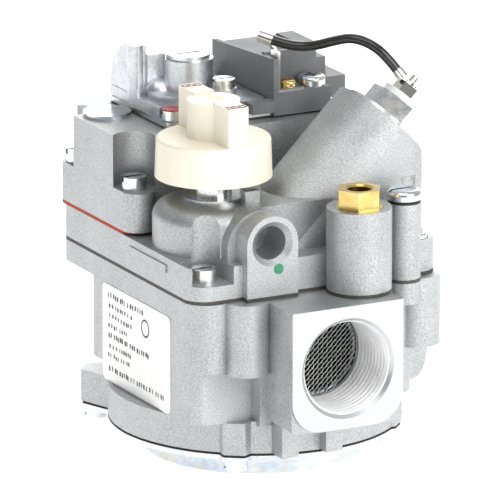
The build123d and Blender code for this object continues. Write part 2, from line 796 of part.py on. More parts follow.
with BuildPart() as safety_spring:
    foot = power_axis.offset(-chamber_l + 2.6)
    coil(foot.origin, power_axis.z_dir, 6.8, 0.35, 10.8, 4)
safety_spring.part.label = "safety_spring"
export_step(safety_spring.part, "parts/safety_spring.step")

with BuildPart() as magnet_unit:
    with BuildSketch(power_axis.offset(-18.4)):
        Circle(3.8)
    extrude(amount=1.6)
    with BuildSketch(power_axis.offset(-17.0)):
        Circle(chamber_r - 0.1)
    extrude(amount=17.0)
    with BuildSketch(power_axis):
        Circle(neck_r)
    extrude(amount=nut_top)
    with BuildSketch(power_axis.offset(-4.0)):
        Circle(stud_r + 0.02)
    extrude(amount=12.0, mode=Mode.SUBTRACT)
magnet_unit.part.label = "magnet_unit"
export_step(magnet_unit.part, "parts/magnet_unit.step")

with BuildPart() as magnet_seal_disc:
    with BuildSketch(power_axis):
        Circle(12.2)
        Circle(neck_r + 0.02, mode=Mode.SUBTRACT)
    extrude(amount=seal_t)
magnet_seal_disc.part.label = "magnet_seal_disc"
export_step(magnet_seal_disc.part, "parts/magnet_seal_disc.step")

with BuildPart() as magnet_nut:
    with BuildSketch(power_axis.offset(seal_t)):
        RegularPolygon(nut_across_corners / 2, 6)
        Circle(neck_r + 0.02, mode=Mode.SUBTRACT)
    extrude(amount=nut_top - seal_t)
magnet_nut.part.label = "magnet_nut"
export_step(magnet_nut.part, "parts/magnet_nut.step")

with BuildPart() as terminal_insulator:
    with BuildSketch(power_axis.offset(nut_top)):
        Circle(5.8)
        Circle(stud_r + 0.02, mode=Mode.SUBTRACT)
    extrude(amount=washer_top - nut_top)
terminal_insulator.part.label = "terminal_insulator"
export_step(terminal_insulator.part, "parts/terminal_insulator.step")

with BuildPart() as terminal_stud:
    with BuildSketch(power_axis.offset(-3.9)):
        Circle(stud_r)
    extrude(amount=19.3)
terminal_stud.part.label = "terminal_stud"
export_step(terminal_stud.part, "parts/terminal_stud.step")

with BuildPart() as terminal_nut:
    with BuildSketch(power_axis.offset(washer_top)):
        RegularPolygon(4.1, 6)
        Circle(stud_r + 0.02, mode=Mode.SUBTRACT)
    extrude(amount=ring_foot - washer_top)
terminal_nut.part.label = "terminal_nut"
export_step(terminal_nut.part, "parts/terminal_nut.step")

# ===== lead from the terminal block to the stud, with its two crimped terminals =================
lead_r = 1.4
lead_route = (
    (11.0, 10.5, 110.6),
    (14.6, 7.2, 109.3),
    (19.4, 3.0, 109.6),
    (23.6, -1.2, 111.6),
    (27.2, -4.8, 112.9),
    (30.6, -8.2, 111.9),
    (33.9, -11.4, 109.0),
    (36.6, -13.2, 104.8),
)
route = [Vector(*point) for point in lead_route]
runs = [b - a for a, b in zip(route, route[1:])]
lead_arcs = []
for before, after in zip(runs, runs[1:]):
    turn = before.get_angle(after)
    shorter = min(before.length, after.length)
    lead_arcs.append(0.45 * shorter / tan(radians(turn / 2)))
print("lead radii", [round(radius, 1) for radius in lead_arcs])

with BuildPart() as power_lead:
    with BuildLine() as lead_path:
        FilletPolyline(*lead_route, radius=lead_arcs)
    with BuildSketch(Plane(origin=lead_path.line @ 0, z_dir=lead_path.line % 0)):
        Circle(lead_r)
    sweep(path=lead_path.line)
power_lead.part.label = "power_lead"
export_step(power_lead.part, "parts/power_lead.step")
lead_length = sum(edge.length for edge in lead_path.line.edges())
lead_section = 3.14159 * lead_r**2
print("lead length", round(lead_length, 2))
print("lead volume over section times length", power_lead.part.volume / lead_section / lead_length)

ring_centre = power_axis.offset(ring_foot)
crimp_r = 1.7
with BuildPart() as ring_terminal:
    with BuildSketch(ring_centre):
        Circle(3.6)
        with Locations((0, 2.6)):
            Rectangle(2.8, 5.2)
        Circle(stud_r + 0.05, mode=Mode.SUBTRACT)
    extrude(amount=0.8)
    with BuildSketch(Plane(origin=route[-1], z_dir=runs[-1])):
        Circle(crimp_r)
    extrude(amount=2.9)
ring_terminal.part.label = "ring_terminal"
export_step(ring_terminal.part, "parts/ring_terminal.step")

with BuildPart() as flag_terminal:
    with BuildSketch(Plane(origin=route[0], z_dir=-runs[0])):
        Circle(crimp_r)
    extrude(amount=4.2)
    with BuildSketch(Plane(origin=(12.45, 12.5, 107.5), z_dir=(-2.0, 0.2, 3.4))):
        Rectangle(0.8, 2.4)
    extrude(amount=4.0)
flag_terminal.part.label = "flag_terminal"
export_step(flag_terminal.part, "parts/flag_terminal.step")

# ===== side block: die-cast aluminium, carries the operator and the terminal block ==============
with BuildPart() as side_block_gasket:
    with BuildSketch(Plane.XY.offset(deck_z)):
        with Locations(((block_left_x + block_right_x) / 2, (block_front_y + block_back_y) / 2)):
            RectangleRounded(
                block_right_x - block_left_x, block_back_y - block_front_y, 3.0
            )
        with Locations(*block_screw_points):
            Circle(shank_r + 0.1, mode=Mode.SUBTRACT)
    extrude(amount=block_foot_z - deck_z)
side_block_gasket.part.label = "side_block_gasket"
export_step(side_block_gasket.part, "parts/side_block_gasket.step")

regulator_bore_r = 6.2
with BuildPart() as side_block:
    with BuildSketch(Plane.XY.offset(block_foot_z)):
        with Locations(((block_left_x + block_right_x) / 2, (block_front_y + block_back_y) / 2)):
            RectangleRounded(
                block_right_x - block_left_x, block_back_y - block_front_y, 3.0
            )
    extrude(amount=block_top_z - block_foot_z)
    with Locations((-32.4, 9.0, block_boss_z)):
        Cylinder(5.8, 20.0, align=LOW, mode=Mode.SUBTRACT)
    with Locations((-36.4, 5.0, block_boss_z)):
        Box(8.0, 8.0, 20.0, align=LOW, mode=Mode.SUBTRACT)
    with Locations((-33.0, 42.4, block_boss_z)):
        Cylinder(4.4, 20.0, align=LOW, mode=Mode.SUBTRACT)
    with Locations((-37.6, 43.0, block_boss_z)):
        Box(8.0, 12.0, 20.0, align=LOW, mode=Mode.SUBTRACT)
    with Locations((-32.4, 6.6, block_foot_z)):
        Cylinder(4.6, block_boss_z - block_foot_z, align=LOW)
    clearance_holes(block_screw_points, block_boss_z, block_boss_z - block_foot_z)
    with Locations((tower_x, tower_y, block_top_z)):
        Cylinder(7.7, 0.7, align=HIGH, mode=Mode.SUBTRACT)
        Cylinder(regulator_bore_r, 13.0, align=HIGH, mode=Mode.SUBTRACT)
side_block.part.label = "side_block"
export_step(side_block.part, "parts/side_block.step")

with BuildPart() as side_block_screws:
    slotted_screws(block_screw_points, block_boss_z, 29.0)
side_block_screws.part.label = "side_block_screws"
export_step(side_block_screws.part, "parts/side_block_screws.step")

with BuildPart() as block_plug_disc:
    with Locations((-28.6, 33.0, block_top_z)):
        Cylinder(6.6, 1.2, align=LOW)
    with Locations((-28.6, 33.0, block_top_z + 1.8 - 40.0)):
        Sphere(40.0, mode=Mode.ADD)
    with Locations((-28.6, 33.0, block_top_z)):
        Cylinder(6.6, 3.0, align=LOW, mode=Mode.INTERSECT)
block_plug_disc.part.label = "block_plug_disc"
export_step(block_plug_disc.part, "parts/block_plug_disc.step")

# ===== operator: gasket, plate, die-cast housing ================================================
plate_mid_x = (plate_left_x + plate_right_x) / 2
plate_mid_y = (plate_front_y + plate_back_y) / 2

with BuildPart() as operator_gasket:
    with BuildSketch(Plane.XY.offset(block_top_z)):
        with Locations((plate_mid_x, plate_mid_y)):
            Rectangle(plate_right_x - plate_left_x - 1.0, plate_back_y - plate_front_y - 1.0)
        with Locations((tower_x, tower_y)):
            Circle(regulator_bore_r, mode=Mode.SUBTRACT)
        with Locations(*operator_screw_points, raised_screw_point, low_screw_point):
            Circle(1.7, mode=Mode.SUBTRACT)
    extrude(amount=plate_z - block_top_z)
operator_gasket.part.label = "operator_gasket"
export_step(operator_gasket.part, "parts/operator_gasket.step")

with BuildPart() as operator_plate:
    with BuildSketch(Plane.XY.offset(plate_z)):
        with Locations((plate_mid_x, plate_mid_y)):
            RectangleRounded(
                plate_right_x - plate_left_x, plate_back_y - plate_front_y, 1.5
            )
        with Locations((tower_x, tower_y)):
            Circle(tower_bore_r, mode=Mode.SUBTRACT)
        with Locations(*operator_screw_points, raised_screw_point, low_screw_point):
            Circle(1.7, mode=Mode.SUBTRACT)
    extrude(amount=plate_top_z - plate_z)
operator_plate.part.label = "operator_plate"
export_step(operator_plate.part, "parts/operator_plate.step")

wall_end_y = 31.0
base_top_z = plate_top_z + 3.0
raised_seat_z = plate_top_z + 5.6
low_seat_z = plate_top_z + 0.4
wall_face = Plane(origin=(-21.0, arch_wall_y, 95.5), x_dir=(0, -1, 0), z_dir=(-1, 0, 0))
with BuildPart() as operator_housing:
    with BuildSketch(Plane.XY.offset(plate_top_z)):
        with Locations((-5.7, 29.1)):
            RectangleRounded(31.0, 34.2, 2.0)
    extrude(amount=base_top_z - plate_top_z)
    # Half of an arched end wall with a lower vault behind it.
    with BuildSketch(wall_face):
        Circle(arch_wall_r)
        with Locations((0, -2.2)):
            Rectangle(2 * arch_wall_r, 4.4)
        with Locations((-5.0, 5.8)):
            Rectangle(15.0, 20.0, mode=Mode.INTERSECT)
    extrude(amount=-3.5)
    with BuildSketch(wall_face.offset(-3.4)):
        with Locations((0, -0.6)):
            Circle(arch_wall_r - 1.6)
        with Locations((0, -2.0)):
            Rectangle(2 * arch_wall_r - 3.2, 4.0)
        with Locations((-4.0, 6.0)):
            Rectangle(15.0, 20.0, mode=Mode.INTERSECT)
    extrude(amount=-5.4)
    # Square block between the vault and the tower.
    with Locations((-10.6, 33.3, plate_top_z + 0.5)):
        Box(5.8, 6.2, 11.4, align=LOW)
    # Half-round rib at the end of the wall and the quarter dome beside it.
    with Locations((-20.3, 32.2, base_top_z - 1.0)):
        Cylinder(2.2, 15.2, align=LOW)
    with Locations((-14.2, 30.4, 95.0)):
        Sphere(3.9)
    # Tower for the pressure regulator on its round foot.
    with Locations((tower_x, tower_y, plate_top_z)):
        Cylinder(12.0, 4.6, align=LOW)
    with Locations((*raised_screw_point, plate_top_z)):
        Cylinder(3.6, raised_seat_z - plate_top_z, align=LOW)
    with Locations((tower_x, tower_y, plate_top_z)):
        Cylinder(tower_r, tower_top_z - plate_top_z, align=LOW)
    # Room for the coil and its flapper.
    with Locations((-16.6, 37.1, plate_top_z)):
        Box(6.2, 11.4, 7.6, align=LOW, mode=Mode.SUBTRACT)
    with Locations((tower_x, tower_y, plate_top_z)):
        Cylinder(tower_bore_r, tower_top_z - plate_top_z, align=LOW, mode=Mode.SUBTRACT)
    with Locations(*on_level(operator_screw_points, plate_top_z)):
        Cylinder(1.7, 4.0, align=LOW, mode=Mode.SUBTRACT)
    with Locations(*on_level(operator_screw_points, base_top_z), (*low_screw_point, low_seat_z)):
        Cylinder(3.5, 20.0, align=LOW, mode=Mode.SUBTRACT)
    with Locations(*on_level((raised_screw_point, low_screw_point), plate_top_z)):
        Cylinder(1.7, 6.0, align=LOW, mode=Mode.SUBTRACT)
operator_housing.part.label = "operator_housing"
export_step(operator_housing.part, "parts/operator_housing.step")

operator_seats = [(point, base_top_z) for point in operator_screw_points]
operator_seats += [(raised_screw_point, raised_seat_z), (low_screw_point, low_seat_z)]
with BuildPart() as operator_screws:
    for (x, y), seat in operator_seats:
        with Locations((x, y, seat)):
            Cylinder(3.1, 2.6, align=LOW)
            Cylinder(1.65, seat - plate_z - 0.05, align=HIGH)
        with Locations((x, y, seat + 2.6)):
            Box(6.4, 0.9, 1.1, align=HIGH, mode=Mode.SUBTRACT)
operator_screws.part.label = "operator_screws"
export_step(operator_screws.part, "parts/operator_screws.step")

# ===== pressure regulator in the tower ==========================================================
with BuildPart() as regulator_cap:
    with Locations((tower_x, tower_y, tower_top_z)):
        Cylinder(6.1, 1.2, align=LOW)
        Cylinder(tower_bore_r - 0.1, 3.0, align=HIGH)
    with Locations((tower_x, tower_y, tower_top_z + 1.2)):
        Box(8.0, 1.2, 0.6, align=HIGH, mode=Mode.SUBTRACT)
regulator_cap.part.label = "regulator_cap"
export_step(regulator_cap.part, "parts/regulator_cap.step")

with BuildPart() as regulator_adjuster:
    with Locations((tower_x, tower_y, 97.5)):
        Cylinder(tower_bore_r - running_fit, 2.2, align=LOW)
    with Locations((tower_x, tower_y, 99.7)):
        Box(8.5, 1.2, 1.0, align=HIGH, mode=Mode.SUBTRACT)
regulator_adjuster.part.label = "regulator_adjuster"
export_step(regulator_adjuster.part, "parts/regulator_adjuster.step")

with BuildPart() as regulator_spring:
    coil((tower_x, tower_y, 91.1), (0, 0, 1), 3.4, 0.35, 5.8, 4)
regulator_spring.part.label = "regulator_spring"
export_step(regulator_spring.part, "parts/regulator_spring.step")

with BuildPart() as regulator_diaphragm:
    with Locations((tower_x, tower_y, 88.3)):
        Cylinder(7.5, 0.5, align=LOW)
        Cylinder(1.6, 0.5, align=LOW, mode=Mode.SUBTRACT)
regulator_diaphragm.part.label = "regulator_diaphragm"
export_step(regulator_diaphragm.part, "parts/regulator_diaphragm.step")

with BuildPart() as regulator_poppet:
    with Locations((tower_x, tower_y, 89.5)):
        Cylinder(4.4, 0.8, align=LOW)
        Cylinder(1.2, 10.0, align=HIGH)
    with Locations((tower_x, tower_y, 79.5)):
        Cylinder(2.6, 1.4, align=LOW)
regulator_poppet.part.label = "regulator_poppet"
export_step(regulator_poppet.part, "parts/regulator_poppet.step")

# ===== servo coil and its flapper under the arched wall =========================================
coil_x = -16.6
coil_y = 39.2
flapper_y = 33.5
flapper_z = 97.4
with BuildPart() as coil_yoke:
    with Locations((coil_x, 37.1, plate_top_z)):
        Box(5.0, 11.0, 1.0, align=LOW)
    with Locations((coil_x, flapper_y - 1.3, plate_top_z)):
        Box(5.0, 1.2, 6.0, align=LOW)
    with Locations((coil_x, coil_y, plate_top_z)):
        Cylinder(1.0, 5.6, align=LOW)
coil_yoke.part.label = "coil_yoke"
export_step(coil_yoke.part, "parts/coil_yoke.step")

with BuildPart() as operator_coil:
    with Locations((coil_x, coil_y, plate_top_z + 1.0)):
        Cylinder(2.7, 4.0, align=LOW)
        Cylinder(1.05, 4.0, align=LOW, mode=Mode.SUBTRACT)
operator_coil.part.label = "operator_coil"
export_step(operator_coil.part, "parts/operator_coil.step")

with BuildPart() as operator_flapper:
    with Locations((coil_x, flapper_y + 4.4, flapper_z)):
        Box(4.4, 8.8, 0.6)
    with Locations((coil_x, flapper_y, flapper_z)):
        Cylinder(0.7, 4.4, rotation=(0, 90, 0))
operator_flapper.part.label = "operator_flapper"
export_step(operator_flapper.part, "parts/operator_flapper.step")

# ===== pilot fitting and pilot adjuster =========================================================
pilot_hex_z = 76.0
pilot_hex_h = 5.2
with BuildPart() as pilot_nut:
    with BuildSketch(Plane(origin=(pilot_x, pilot_y, pilot_hex_z))):
        RegularPolygon(6.3, 6)
    extrude(amount=pilot_hex_h)
    with Locations((pilot_x, pilot_y, pilot_hex_z)):
        Cylinder(6.5, 2.3, align=HIGH)
        Cylinder(4.0, 12.0, align=HIGH)
    with Locations((pilot_x, pilot_y, pilot_hex_z + pilot_hex_h)):
        Cylinder(3.35, 12.0, align=HIGH, mode=Mode.SUBTRACT)
        Cylinder(1.5, 20.0, align=HIGH, mode=Mode.SUBTRACT)
    with BuildSketch(Plane(origin=(pilot_x, pilot_y, pilot_hex_z + pilot_hex_h))):
        Circle(3.9)
    extrude(amount=-0.55, taper=45, mode=Mode.SUBTRACT)
pilot_nut.part.label = "pilot_nut"
export_step(pilot_nut.part, "parts/pilot_nut.step")

cover_head_z = gasket_top_z + 22.0
with BuildPart() as pilot_cover_screw:
    with Locations((cover_screw_x, cover_screw_y, cover_head_z)):
        Cylinder(4.8, 2.8, align=LOW)
    fillet(pilot_cover_screw.edges().group_by(Axis.Z)[-1], 1.6)
    with Locations((cover_screw_x, cover_screw_y, cover_head_z + 2.8)):
        Box(9.6, 1.1, 1.2, align=HIGH, mode=Mode.SUBTRACT)
    with Locations((cover_screw_x, cover_screw_y, cover_head_z)):
        Cylinder(2.35, 8.0, align=HIGH)
pilot_cover_screw.part.label = "pilot_cover_screw"
export_step(pilot_cover_screw.part, "parts/pilot_cover_screw.step")

with BuildPart() as pilot_cover_o_ring:
    with BuildSketch(Plane(origin=(cover_screw_x, cover_screw_y, cover_head_z - 1.0))):
        Circle(4.4)
        Circle(2.4, mode=Mode.SUBTRACT)
    extrude(amount=1.0)
pilot_cover_o_ring.part.label = "pilot_cover_o_ring"
export_step(pilot_cover_o_ring.part, "parts/pilot_cover_o_ring.step")

with BuildPart() as pilot_needle:
    with Locations((cover_screw_x, cover_screw_y, cover_head_z - 8.6)):
        Cylinder(2.3, 5.0, align=HIGH)
        Box(4.0, 0.7, 1.0, align=HIGH, mode=Mode.SUBTRACT)
    with Locations((cover_screw_x, cover_screw_y, cover_head_z - 13.6)):
        Cone(0.5, 1.6, 2.6, align=HIGH)
pilot_needle.part.label = "pilot_needle"
export_step(pilot_needle.part, "parts/pilot_needle.step")

# ===== terminal block: dark grey plastic ========================================================
with BuildPart() as terminal_block:
    with Locations((19.3, 13.25, plate_top_z)):
        Box(17.6, 8.5, term_shelf_z - plate_top_z, align=LOW)
    with Locations((19.3, 9.65, plate_z)):
        Box(17.6, 1.3, term_shelf_z - plate_z, align=LOW)
    with Locations((21.5, 31.75, plate_top_z)):
        Box(19.0, 28.5, 11.2, align=LOW)
    with Locations((20.05, 18.25, plate_top_z)):
        Box(16.1, 1.5, 14.4, align=LOW)
    with Locations((28.4, 31.0, plate_top_z + 11.0)):
        Box(5.2, 12.0, 3.1, align=LOW)
    with BuildSketch(Plane.YZ.offset(term_left_x)):
        with BuildLine():
            Polyline(
                (term_front_y, plate_top_z),
                (term_back_y, plate_top_z),
                (term_back_y, term_tail_z),
                (term_front_y, term_top_z),
                close=True,
            )
        make_face()
    extrude(amount=term_wall_t)
    with Locations((7.1, 9.6, plate_top_z)):
        Box(8.0, 4.4, 3.0, align=LOW)
    with Locations((32.0, 21.5, plate_top_z)):
        Box(7.8, 13.0, 6.0, align=LOW)
terminal_block.part.label = "terminal_block"
export_step(terminal_block.part, "parts/terminal_block.step")

with BuildPart() as terminal_strip:
    with Locations((12.45, 11.6, term_shelf_z)):
        Box(0.8, 4.0, 11.2, align=LOW)
    with Locations((16.2, 12.4, term_shelf_z)):
        Box(8.0, 5.2, 0.7, align=LOW)
terminal_strip.part.label = "terminal_strip"
export_step(terminal_strip.part, "parts/terminal_strip.step")

with BuildPart() as block_terminal_screw:
    with Locations((16.6, 12.2, term_shelf_z + 0.7)):
        Cylinder(2.2, 1.9, align=LOW)
    fillet(block_terminal_screw.edges().group_by(Axis.Z)[-1], 1.0)
    with Locations((16.6, 12.2, term_shelf_z + 2.6)):
        Box(4.4, 0.8, 0.9, align=HIGH, mode=Mode.SUBTRACT)
block_terminal_screw.part.label = "block_terminal_screw"
export_step(block_terminal_screw.part, "parts/block_terminal_screw.step")

with BuildPart() as block_common_screw:
    with Locations((24.4, 13.2, term_shelf_z)):
        Cylinder(3.9, 2.9, align=LOW)
    fillet(block_common_screw.edges().group_by(Axis.Z)[-1], 1.3)
    with Locations((24.4, 13.2, term_shelf_z + 2.9)):
        Box(4.4, 1.1, 1.4, align=HIGH, mode=Mode.SUBTRACT)
        Box(1.1, 4.4, 1.4, align=HIGH, mode=Mode.SUBTRACT)
block_common_screw.part.label = "block_common_screw"
export_step(block_common_screw.part, "parts/block_common_screw.step")

# ===== label on the left wall ===================================================================
with BuildPart() as label:
    with BuildSketch(Plane.YZ.offset(side_wall_x)):
        with Locations((-1.0, 32.4)):
            RectangleRounded(41.0, 27.4, 1.8)
    extrude(amount=-0.2)
label.part.label = "label"
export_step(label.part, "parts/label.step")
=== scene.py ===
import logging
from dataclasses import dataclass
from enum import Enum
from math import cos, pi, radians, sin
from typing import Any, Optional, Sequence

import bpy
import numpy as np
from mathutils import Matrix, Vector


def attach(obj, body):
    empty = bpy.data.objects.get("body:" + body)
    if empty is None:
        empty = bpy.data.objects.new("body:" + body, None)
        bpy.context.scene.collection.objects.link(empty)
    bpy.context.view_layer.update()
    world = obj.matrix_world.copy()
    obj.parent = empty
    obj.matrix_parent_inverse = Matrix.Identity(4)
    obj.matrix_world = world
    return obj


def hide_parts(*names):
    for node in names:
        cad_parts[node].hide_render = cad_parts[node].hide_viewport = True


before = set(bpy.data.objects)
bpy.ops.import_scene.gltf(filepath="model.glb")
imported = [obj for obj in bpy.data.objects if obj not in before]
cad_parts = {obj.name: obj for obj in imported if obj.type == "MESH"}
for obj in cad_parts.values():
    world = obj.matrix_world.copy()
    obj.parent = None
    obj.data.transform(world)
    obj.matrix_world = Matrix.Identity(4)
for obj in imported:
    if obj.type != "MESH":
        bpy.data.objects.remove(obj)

log = logging.getLogger("gas_valve")

MM = 0.001
BODY = "valve_body"
KNOB = "knob"


# ---------------------------------------------------------------------------------------------
# Small tools: colour, shader nodes, meshes
# ---------------------------------------------------------------------------------------------


def linear(colour: str, alpha: float = 1.0) -> tuple[float, float, float, float]:
    """Turn an sRGB hex colour into linear values.

    Args:
        colour: Six hex digits after a hash.
        alpha: Opacity to carry along.

    Returns:
        Linear red, green, blue and alpha.
    """
    raw = np.array([int(colour[i : i + 2], 16) for i in (1, 3, 5)]) / 255.0
    lin = np.where(raw <= 0.04045, raw / 12.92, ((raw + 0.055) / 1.055) ** 2.4)
    return (float(lin[0]), float(lin[1]), float(lin[2]), alpha)


def add(
    tree: bpy.types.NodeTree,
    kind: str,
    settings: Optional[dict[str, Any]] = None,
    inputs: Optional[dict[Any, Any]] = None,
) -> bpy.types.Node:
    """Add a shader node with its settings, its values and its links.

    Args:
        tree: The node tree to add to.
        kind: The node's type name.
        settings: Properties to set on the node.
        inputs: Socket name or number to a value, or to another node's output socket.

    Returns:
        The new node.
    """
    made = tree.nodes.new(kind)
    for key, value in (settings or {}).items():
        setattr(made, key, value)
    for key, value in (inputs or {}).items():
        if isinstance(value, bpy.types.NodeSocket):
            tree.links.new(value, made.inputs[key])
        else:
            made.inputs[key].default_value = value
    return made


def ramp(node: bpy.types.Node, stops: Sequence[tuple[float, str]]) -> bpy.types.Node:
    """Set a colour ramp's stops.

    Args:
        node: The ramp node.
        stops: Position and sRGB hex colour of each stop, in order.

    Returns:
        The same node.
    """
    elements = node.color_ramp.elements
    while len(elements) < len(stops):
        elements.new(0.5)
    for element, (place, colour) in zip(elements, stops):
        element.position = place
        element.color = linear(colour)
    return node


def mesh_object(
    name: str, points: np.ndarray, faces: np.ndarray, smooth: bool = True
) -> bpy.types.Object:
    """Put an array of points and an array of four-cornered faces into a mesh object.

    Args:
        name: Name of the object and its mesh.
        points: Vertices as rows of x, y, z in metres, in the row frame.
        faces: Vertex numbers, four to a row, counter-clockwise from outside.
        smooth: Whether the faces are shaded smooth.

    Returns:
        The object, at the origin, linked to the scene.
    """
    mesh = bpy.data.meshes.new(name)
    mesh.vertices.add(len(points))
    mesh.vertices.foreach_set("co", np.ascontiguousarray(points, np.float32).ravel())
    mesh.loops.add(faces.size)
    mesh.loops.foreach_set("vertex_index", np.ascontiguousarray(faces, np.int32).ravel())
    mesh.polygons.add(len(faces))
    mesh.polygons.foreach_set("loop_start", np.arange(len(faces), dtype=np.int32) * 4)
    mesh.polygons.foreach_set("loop_total", np.full(len(faces), 4, np.int32))
    mesh.polygons.foreach_set("use_smooth", np.full(len(faces), smooth))
    mesh.update(calc_edges=True)
    mesh.validate()
    made = bpy.data.objects.new(name, mesh)
    bpy.context.scene.collection.objects.link(made)
    return made


def ring_faces(rows: int, columns: int, wrap_rows: bool) -> np.ndarray:
    """Number the faces of a grid that closes on itself along its columns.

    Args:
        rows: Points along the first direction.
        columns: Points around the second direction, which closes.
        wrap_rows: Whether the first direction closes too.

    Returns:
        Four vertex numbers for each face.
    """
    last = rows if wrap_rows else rows - 1
    u, v = np.meshgrid(np.arange(last), np.arange(columns), indexing="ij")
    un, vn = (u + 1) % rows, (v + 1) % columns
    corners = [u * columns + v, un * columns + v, un * columns + vn, u * columns + vn]
    return np.stack([c.ravel() for c in corners], axis=1)


def boxes(name: str, low: np.ndarray, high: np.ndarray) -> bpy.types.Object:
    """Make many small closed blocks in one mesh.

    Args:
        name: Name of the object.
        low: Lowest corner of each block, one row each, in metres.
        high: Highest corner of each block.

    Returns:
        The object that holds all blocks.
    """
    pick = np.array(
        [[0, 0, 0], [1, 0, 0], [1, 1, 0], [0, 1, 0], [0, 0, 1], [1, 0, 1], [1, 1, 1], [0, 1, 1]]
    )
    points = low[:, None, :] * (1 - pick) + high[:, None, :] * pick
    sides = np.array(
        [[0, 3, 2, 1], [4, 5, 6, 7], [0, 1, 5, 4], [1, 2, 6, 5], [2, 3, 7, 6], [3, 0, 4, 7]]
    )
    faces = (sides[None] + 8 * np.arange(len(low))[:, None, None]).reshape(-1, 4)
    return mesh_object(name, points.reshape(-1, 3), faces, smooth=False)


def dome(
    name: str, centre: Sequence[float], normal: Sequence[float], radius: float, height: float
) -> bpy.types.Object:
    """Make a low closed blob of paint.

    The upper surface is a half ellipsoid: over the angle a from the rim to the top, the radius is
    r cos a and the height h sin a.  The grid runs on under the blob to close it flat.

    Args:
        name: Name of the object.
        centre: Middle of the blob's foot, in metres.
        normal: Direction that the blob faces.
        radius: Radius of the foot.
        height: Height of the top over the foot.

    Returns:
        The object.
    """
    n = Vector(normal).normalized()
    side = n.orthogonal().normalized()
    other = n.cross(side)
    a = np.concatenate([[0.0], np.linspace(0.02, pi / 2 - 0.01, 9)])
    r = radius * np.cos(a)
    h = height * np.sin(a)
    r[0], h[0] = 1e-6, 0.0
    t = np.linspace(0, 2 * pi, 40, endpoint=False)
    x = r[:, None] * np.cos(t)[None]
    y = r[:, None] * np.sin(t)[None]
    z = np.repeat(h[:, None], len(t), axis=1)
    points = (
        np.array(centre)
        + x[..., None] * np.array(side)
        + y[..., None] * np.array(other)
        + z[..., None] * np.array(n)
    )
    faces = ring_faces(len(a), len(t), wrap_rows=True)[:, ::-1]
    return mesh_object(name, points.reshape(-1, 3), faces)


# ---------------------------------------------------------------------------------------------
# Finishes
# ---------------------------------------------------------------------------------------------


class Grain(Enum):
    """How a surface was made, which sets the shape of its fine pattern."""

    BLASTED = (1.0, 1.0, 1.0)
    TURNED = (1.0, 1.0, 14.0)
    BRUSHED_X = (0.06, 1.0, 1.0)
    ROLLED = (0.3, 1.0, 1.0)


@dataclass(frozen=True)
class Finish:
    """A procedural surface: two tints mixed by fine grain and broad clouds, with a fine relief.

    Grain sizes are real millimetres, drawn no finer than the render can show.
    """

    name: str
    light: str
    dark: str
    metallic: float
    roughness: float
    spread: float = 0.08
    grain_mm: float = 0.4
    relief_mm: float = 0.02
    cloud_mm: float = 14.0
    cloud: float = 0.35
    grain: Grain = Grain.BLASTED
    ior: float = 1.5
    coat: float = 0.0
    glow: float = 0.0

    def material(self) -> bpy.types.Material:
        """Build the material, or return it if it is built already."""
        known = bpy.data.materials.get(self.name)
        if known:
            return known
        made = bpy.data.materials.new(self.name)
        made.use_nodes = True
        tree = made.node_tree
        tree.nodes.clear()
        where = add(tree, "ShaderNodeTexCoord")
        stretched = add(
            tree,
            "ShaderNodeMapping",
            inputs={"Vector": where.outputs["Object"], "Scale": self.grain.value},
        )
        fine = add(
            tree,
            "ShaderNodeTexNoise",
            inputs={
                "Vector": stretched.outputs[0],
                "Scale": 1.0 / (self.grain_mm * MM),
                "Detail": 2.0,
                "Roughness": 0.6,
            },
        )
        broad = add(
            tree,
            "ShaderNodeTexNoise",
            inputs={
                "Vector": where.outputs["Object"],
                "Scale": 1.0 / (self.cloud_mm * MM),
                "Detail": 3.0,
                "Roughness": 0.55,
            },
        )
        both = add(
            tree,
            "ShaderNodeMix",
            {"data_type": "FLOAT"},
            {0: self.cloud, 2: fine.outputs["Fac"], 3: broad.outputs["Fac"]},
        )
        tint = add(tree, "ShaderNodeValToRGB", inputs={"Fac": both.outputs[0]})
        ramp(tint, [(0.33, self.dark), (0.67, self.light)])
        rough = add(
            tree,
            "ShaderNodeMapRange",
            inputs={
                "Value": broad.outputs["Fac"],
                "From Min": 0.3,
                "From Max": 0.7,
                "To Min": max(0.02, self.roughness - self.spread),
                "To Max": min(1.0, self.roughness + self.spread),
            },
        )
        relief = add(
            tree,
            "ShaderNodeBump",
            inputs={
                "Height": fine.outputs["Fac"],
                "Strength": 1.0,
                "Distance": self.relief_mm * MM,
            },
        )
        parts = {
            "colour": tint.outputs["Color"],
            "rough": rough.outputs[0],
            "normal": relief.outputs[0],
            "where": where.outputs["Object"],
            "fine": fine.outputs["Fac"],
            "broad": broad.outputs["Fac"],
        }
        self.extend(tree, parts)
        shader = add(
            tree,
            "ShaderNodeBsdfPrincipled",
            inputs={
                "Base Color": parts["colour"],
                "Metallic": parts.get("metallic", self.metallic),
                "Roughness": parts["rough"],
                "IOR": self.ior,
                "Normal": parts["normal"],
                "Coat Weight": self.coat,
                "Emission Color": parts["colour"],
                "Emission Strength": self.glow,
            },
        )
        add(tree, "ShaderNodeOutputMaterial", inputs={"Surface": shader.outputs[0]})
        return made

    def extend(self, tree: bpy.types.NodeTree, parts: dict[str, Any]) -> None:
        """Let a finish change its colour, roughness or relief before they reach the shader.

        Args:
            tree: The material's node tree.
            parts: Named output sockets, changed in place.
        """


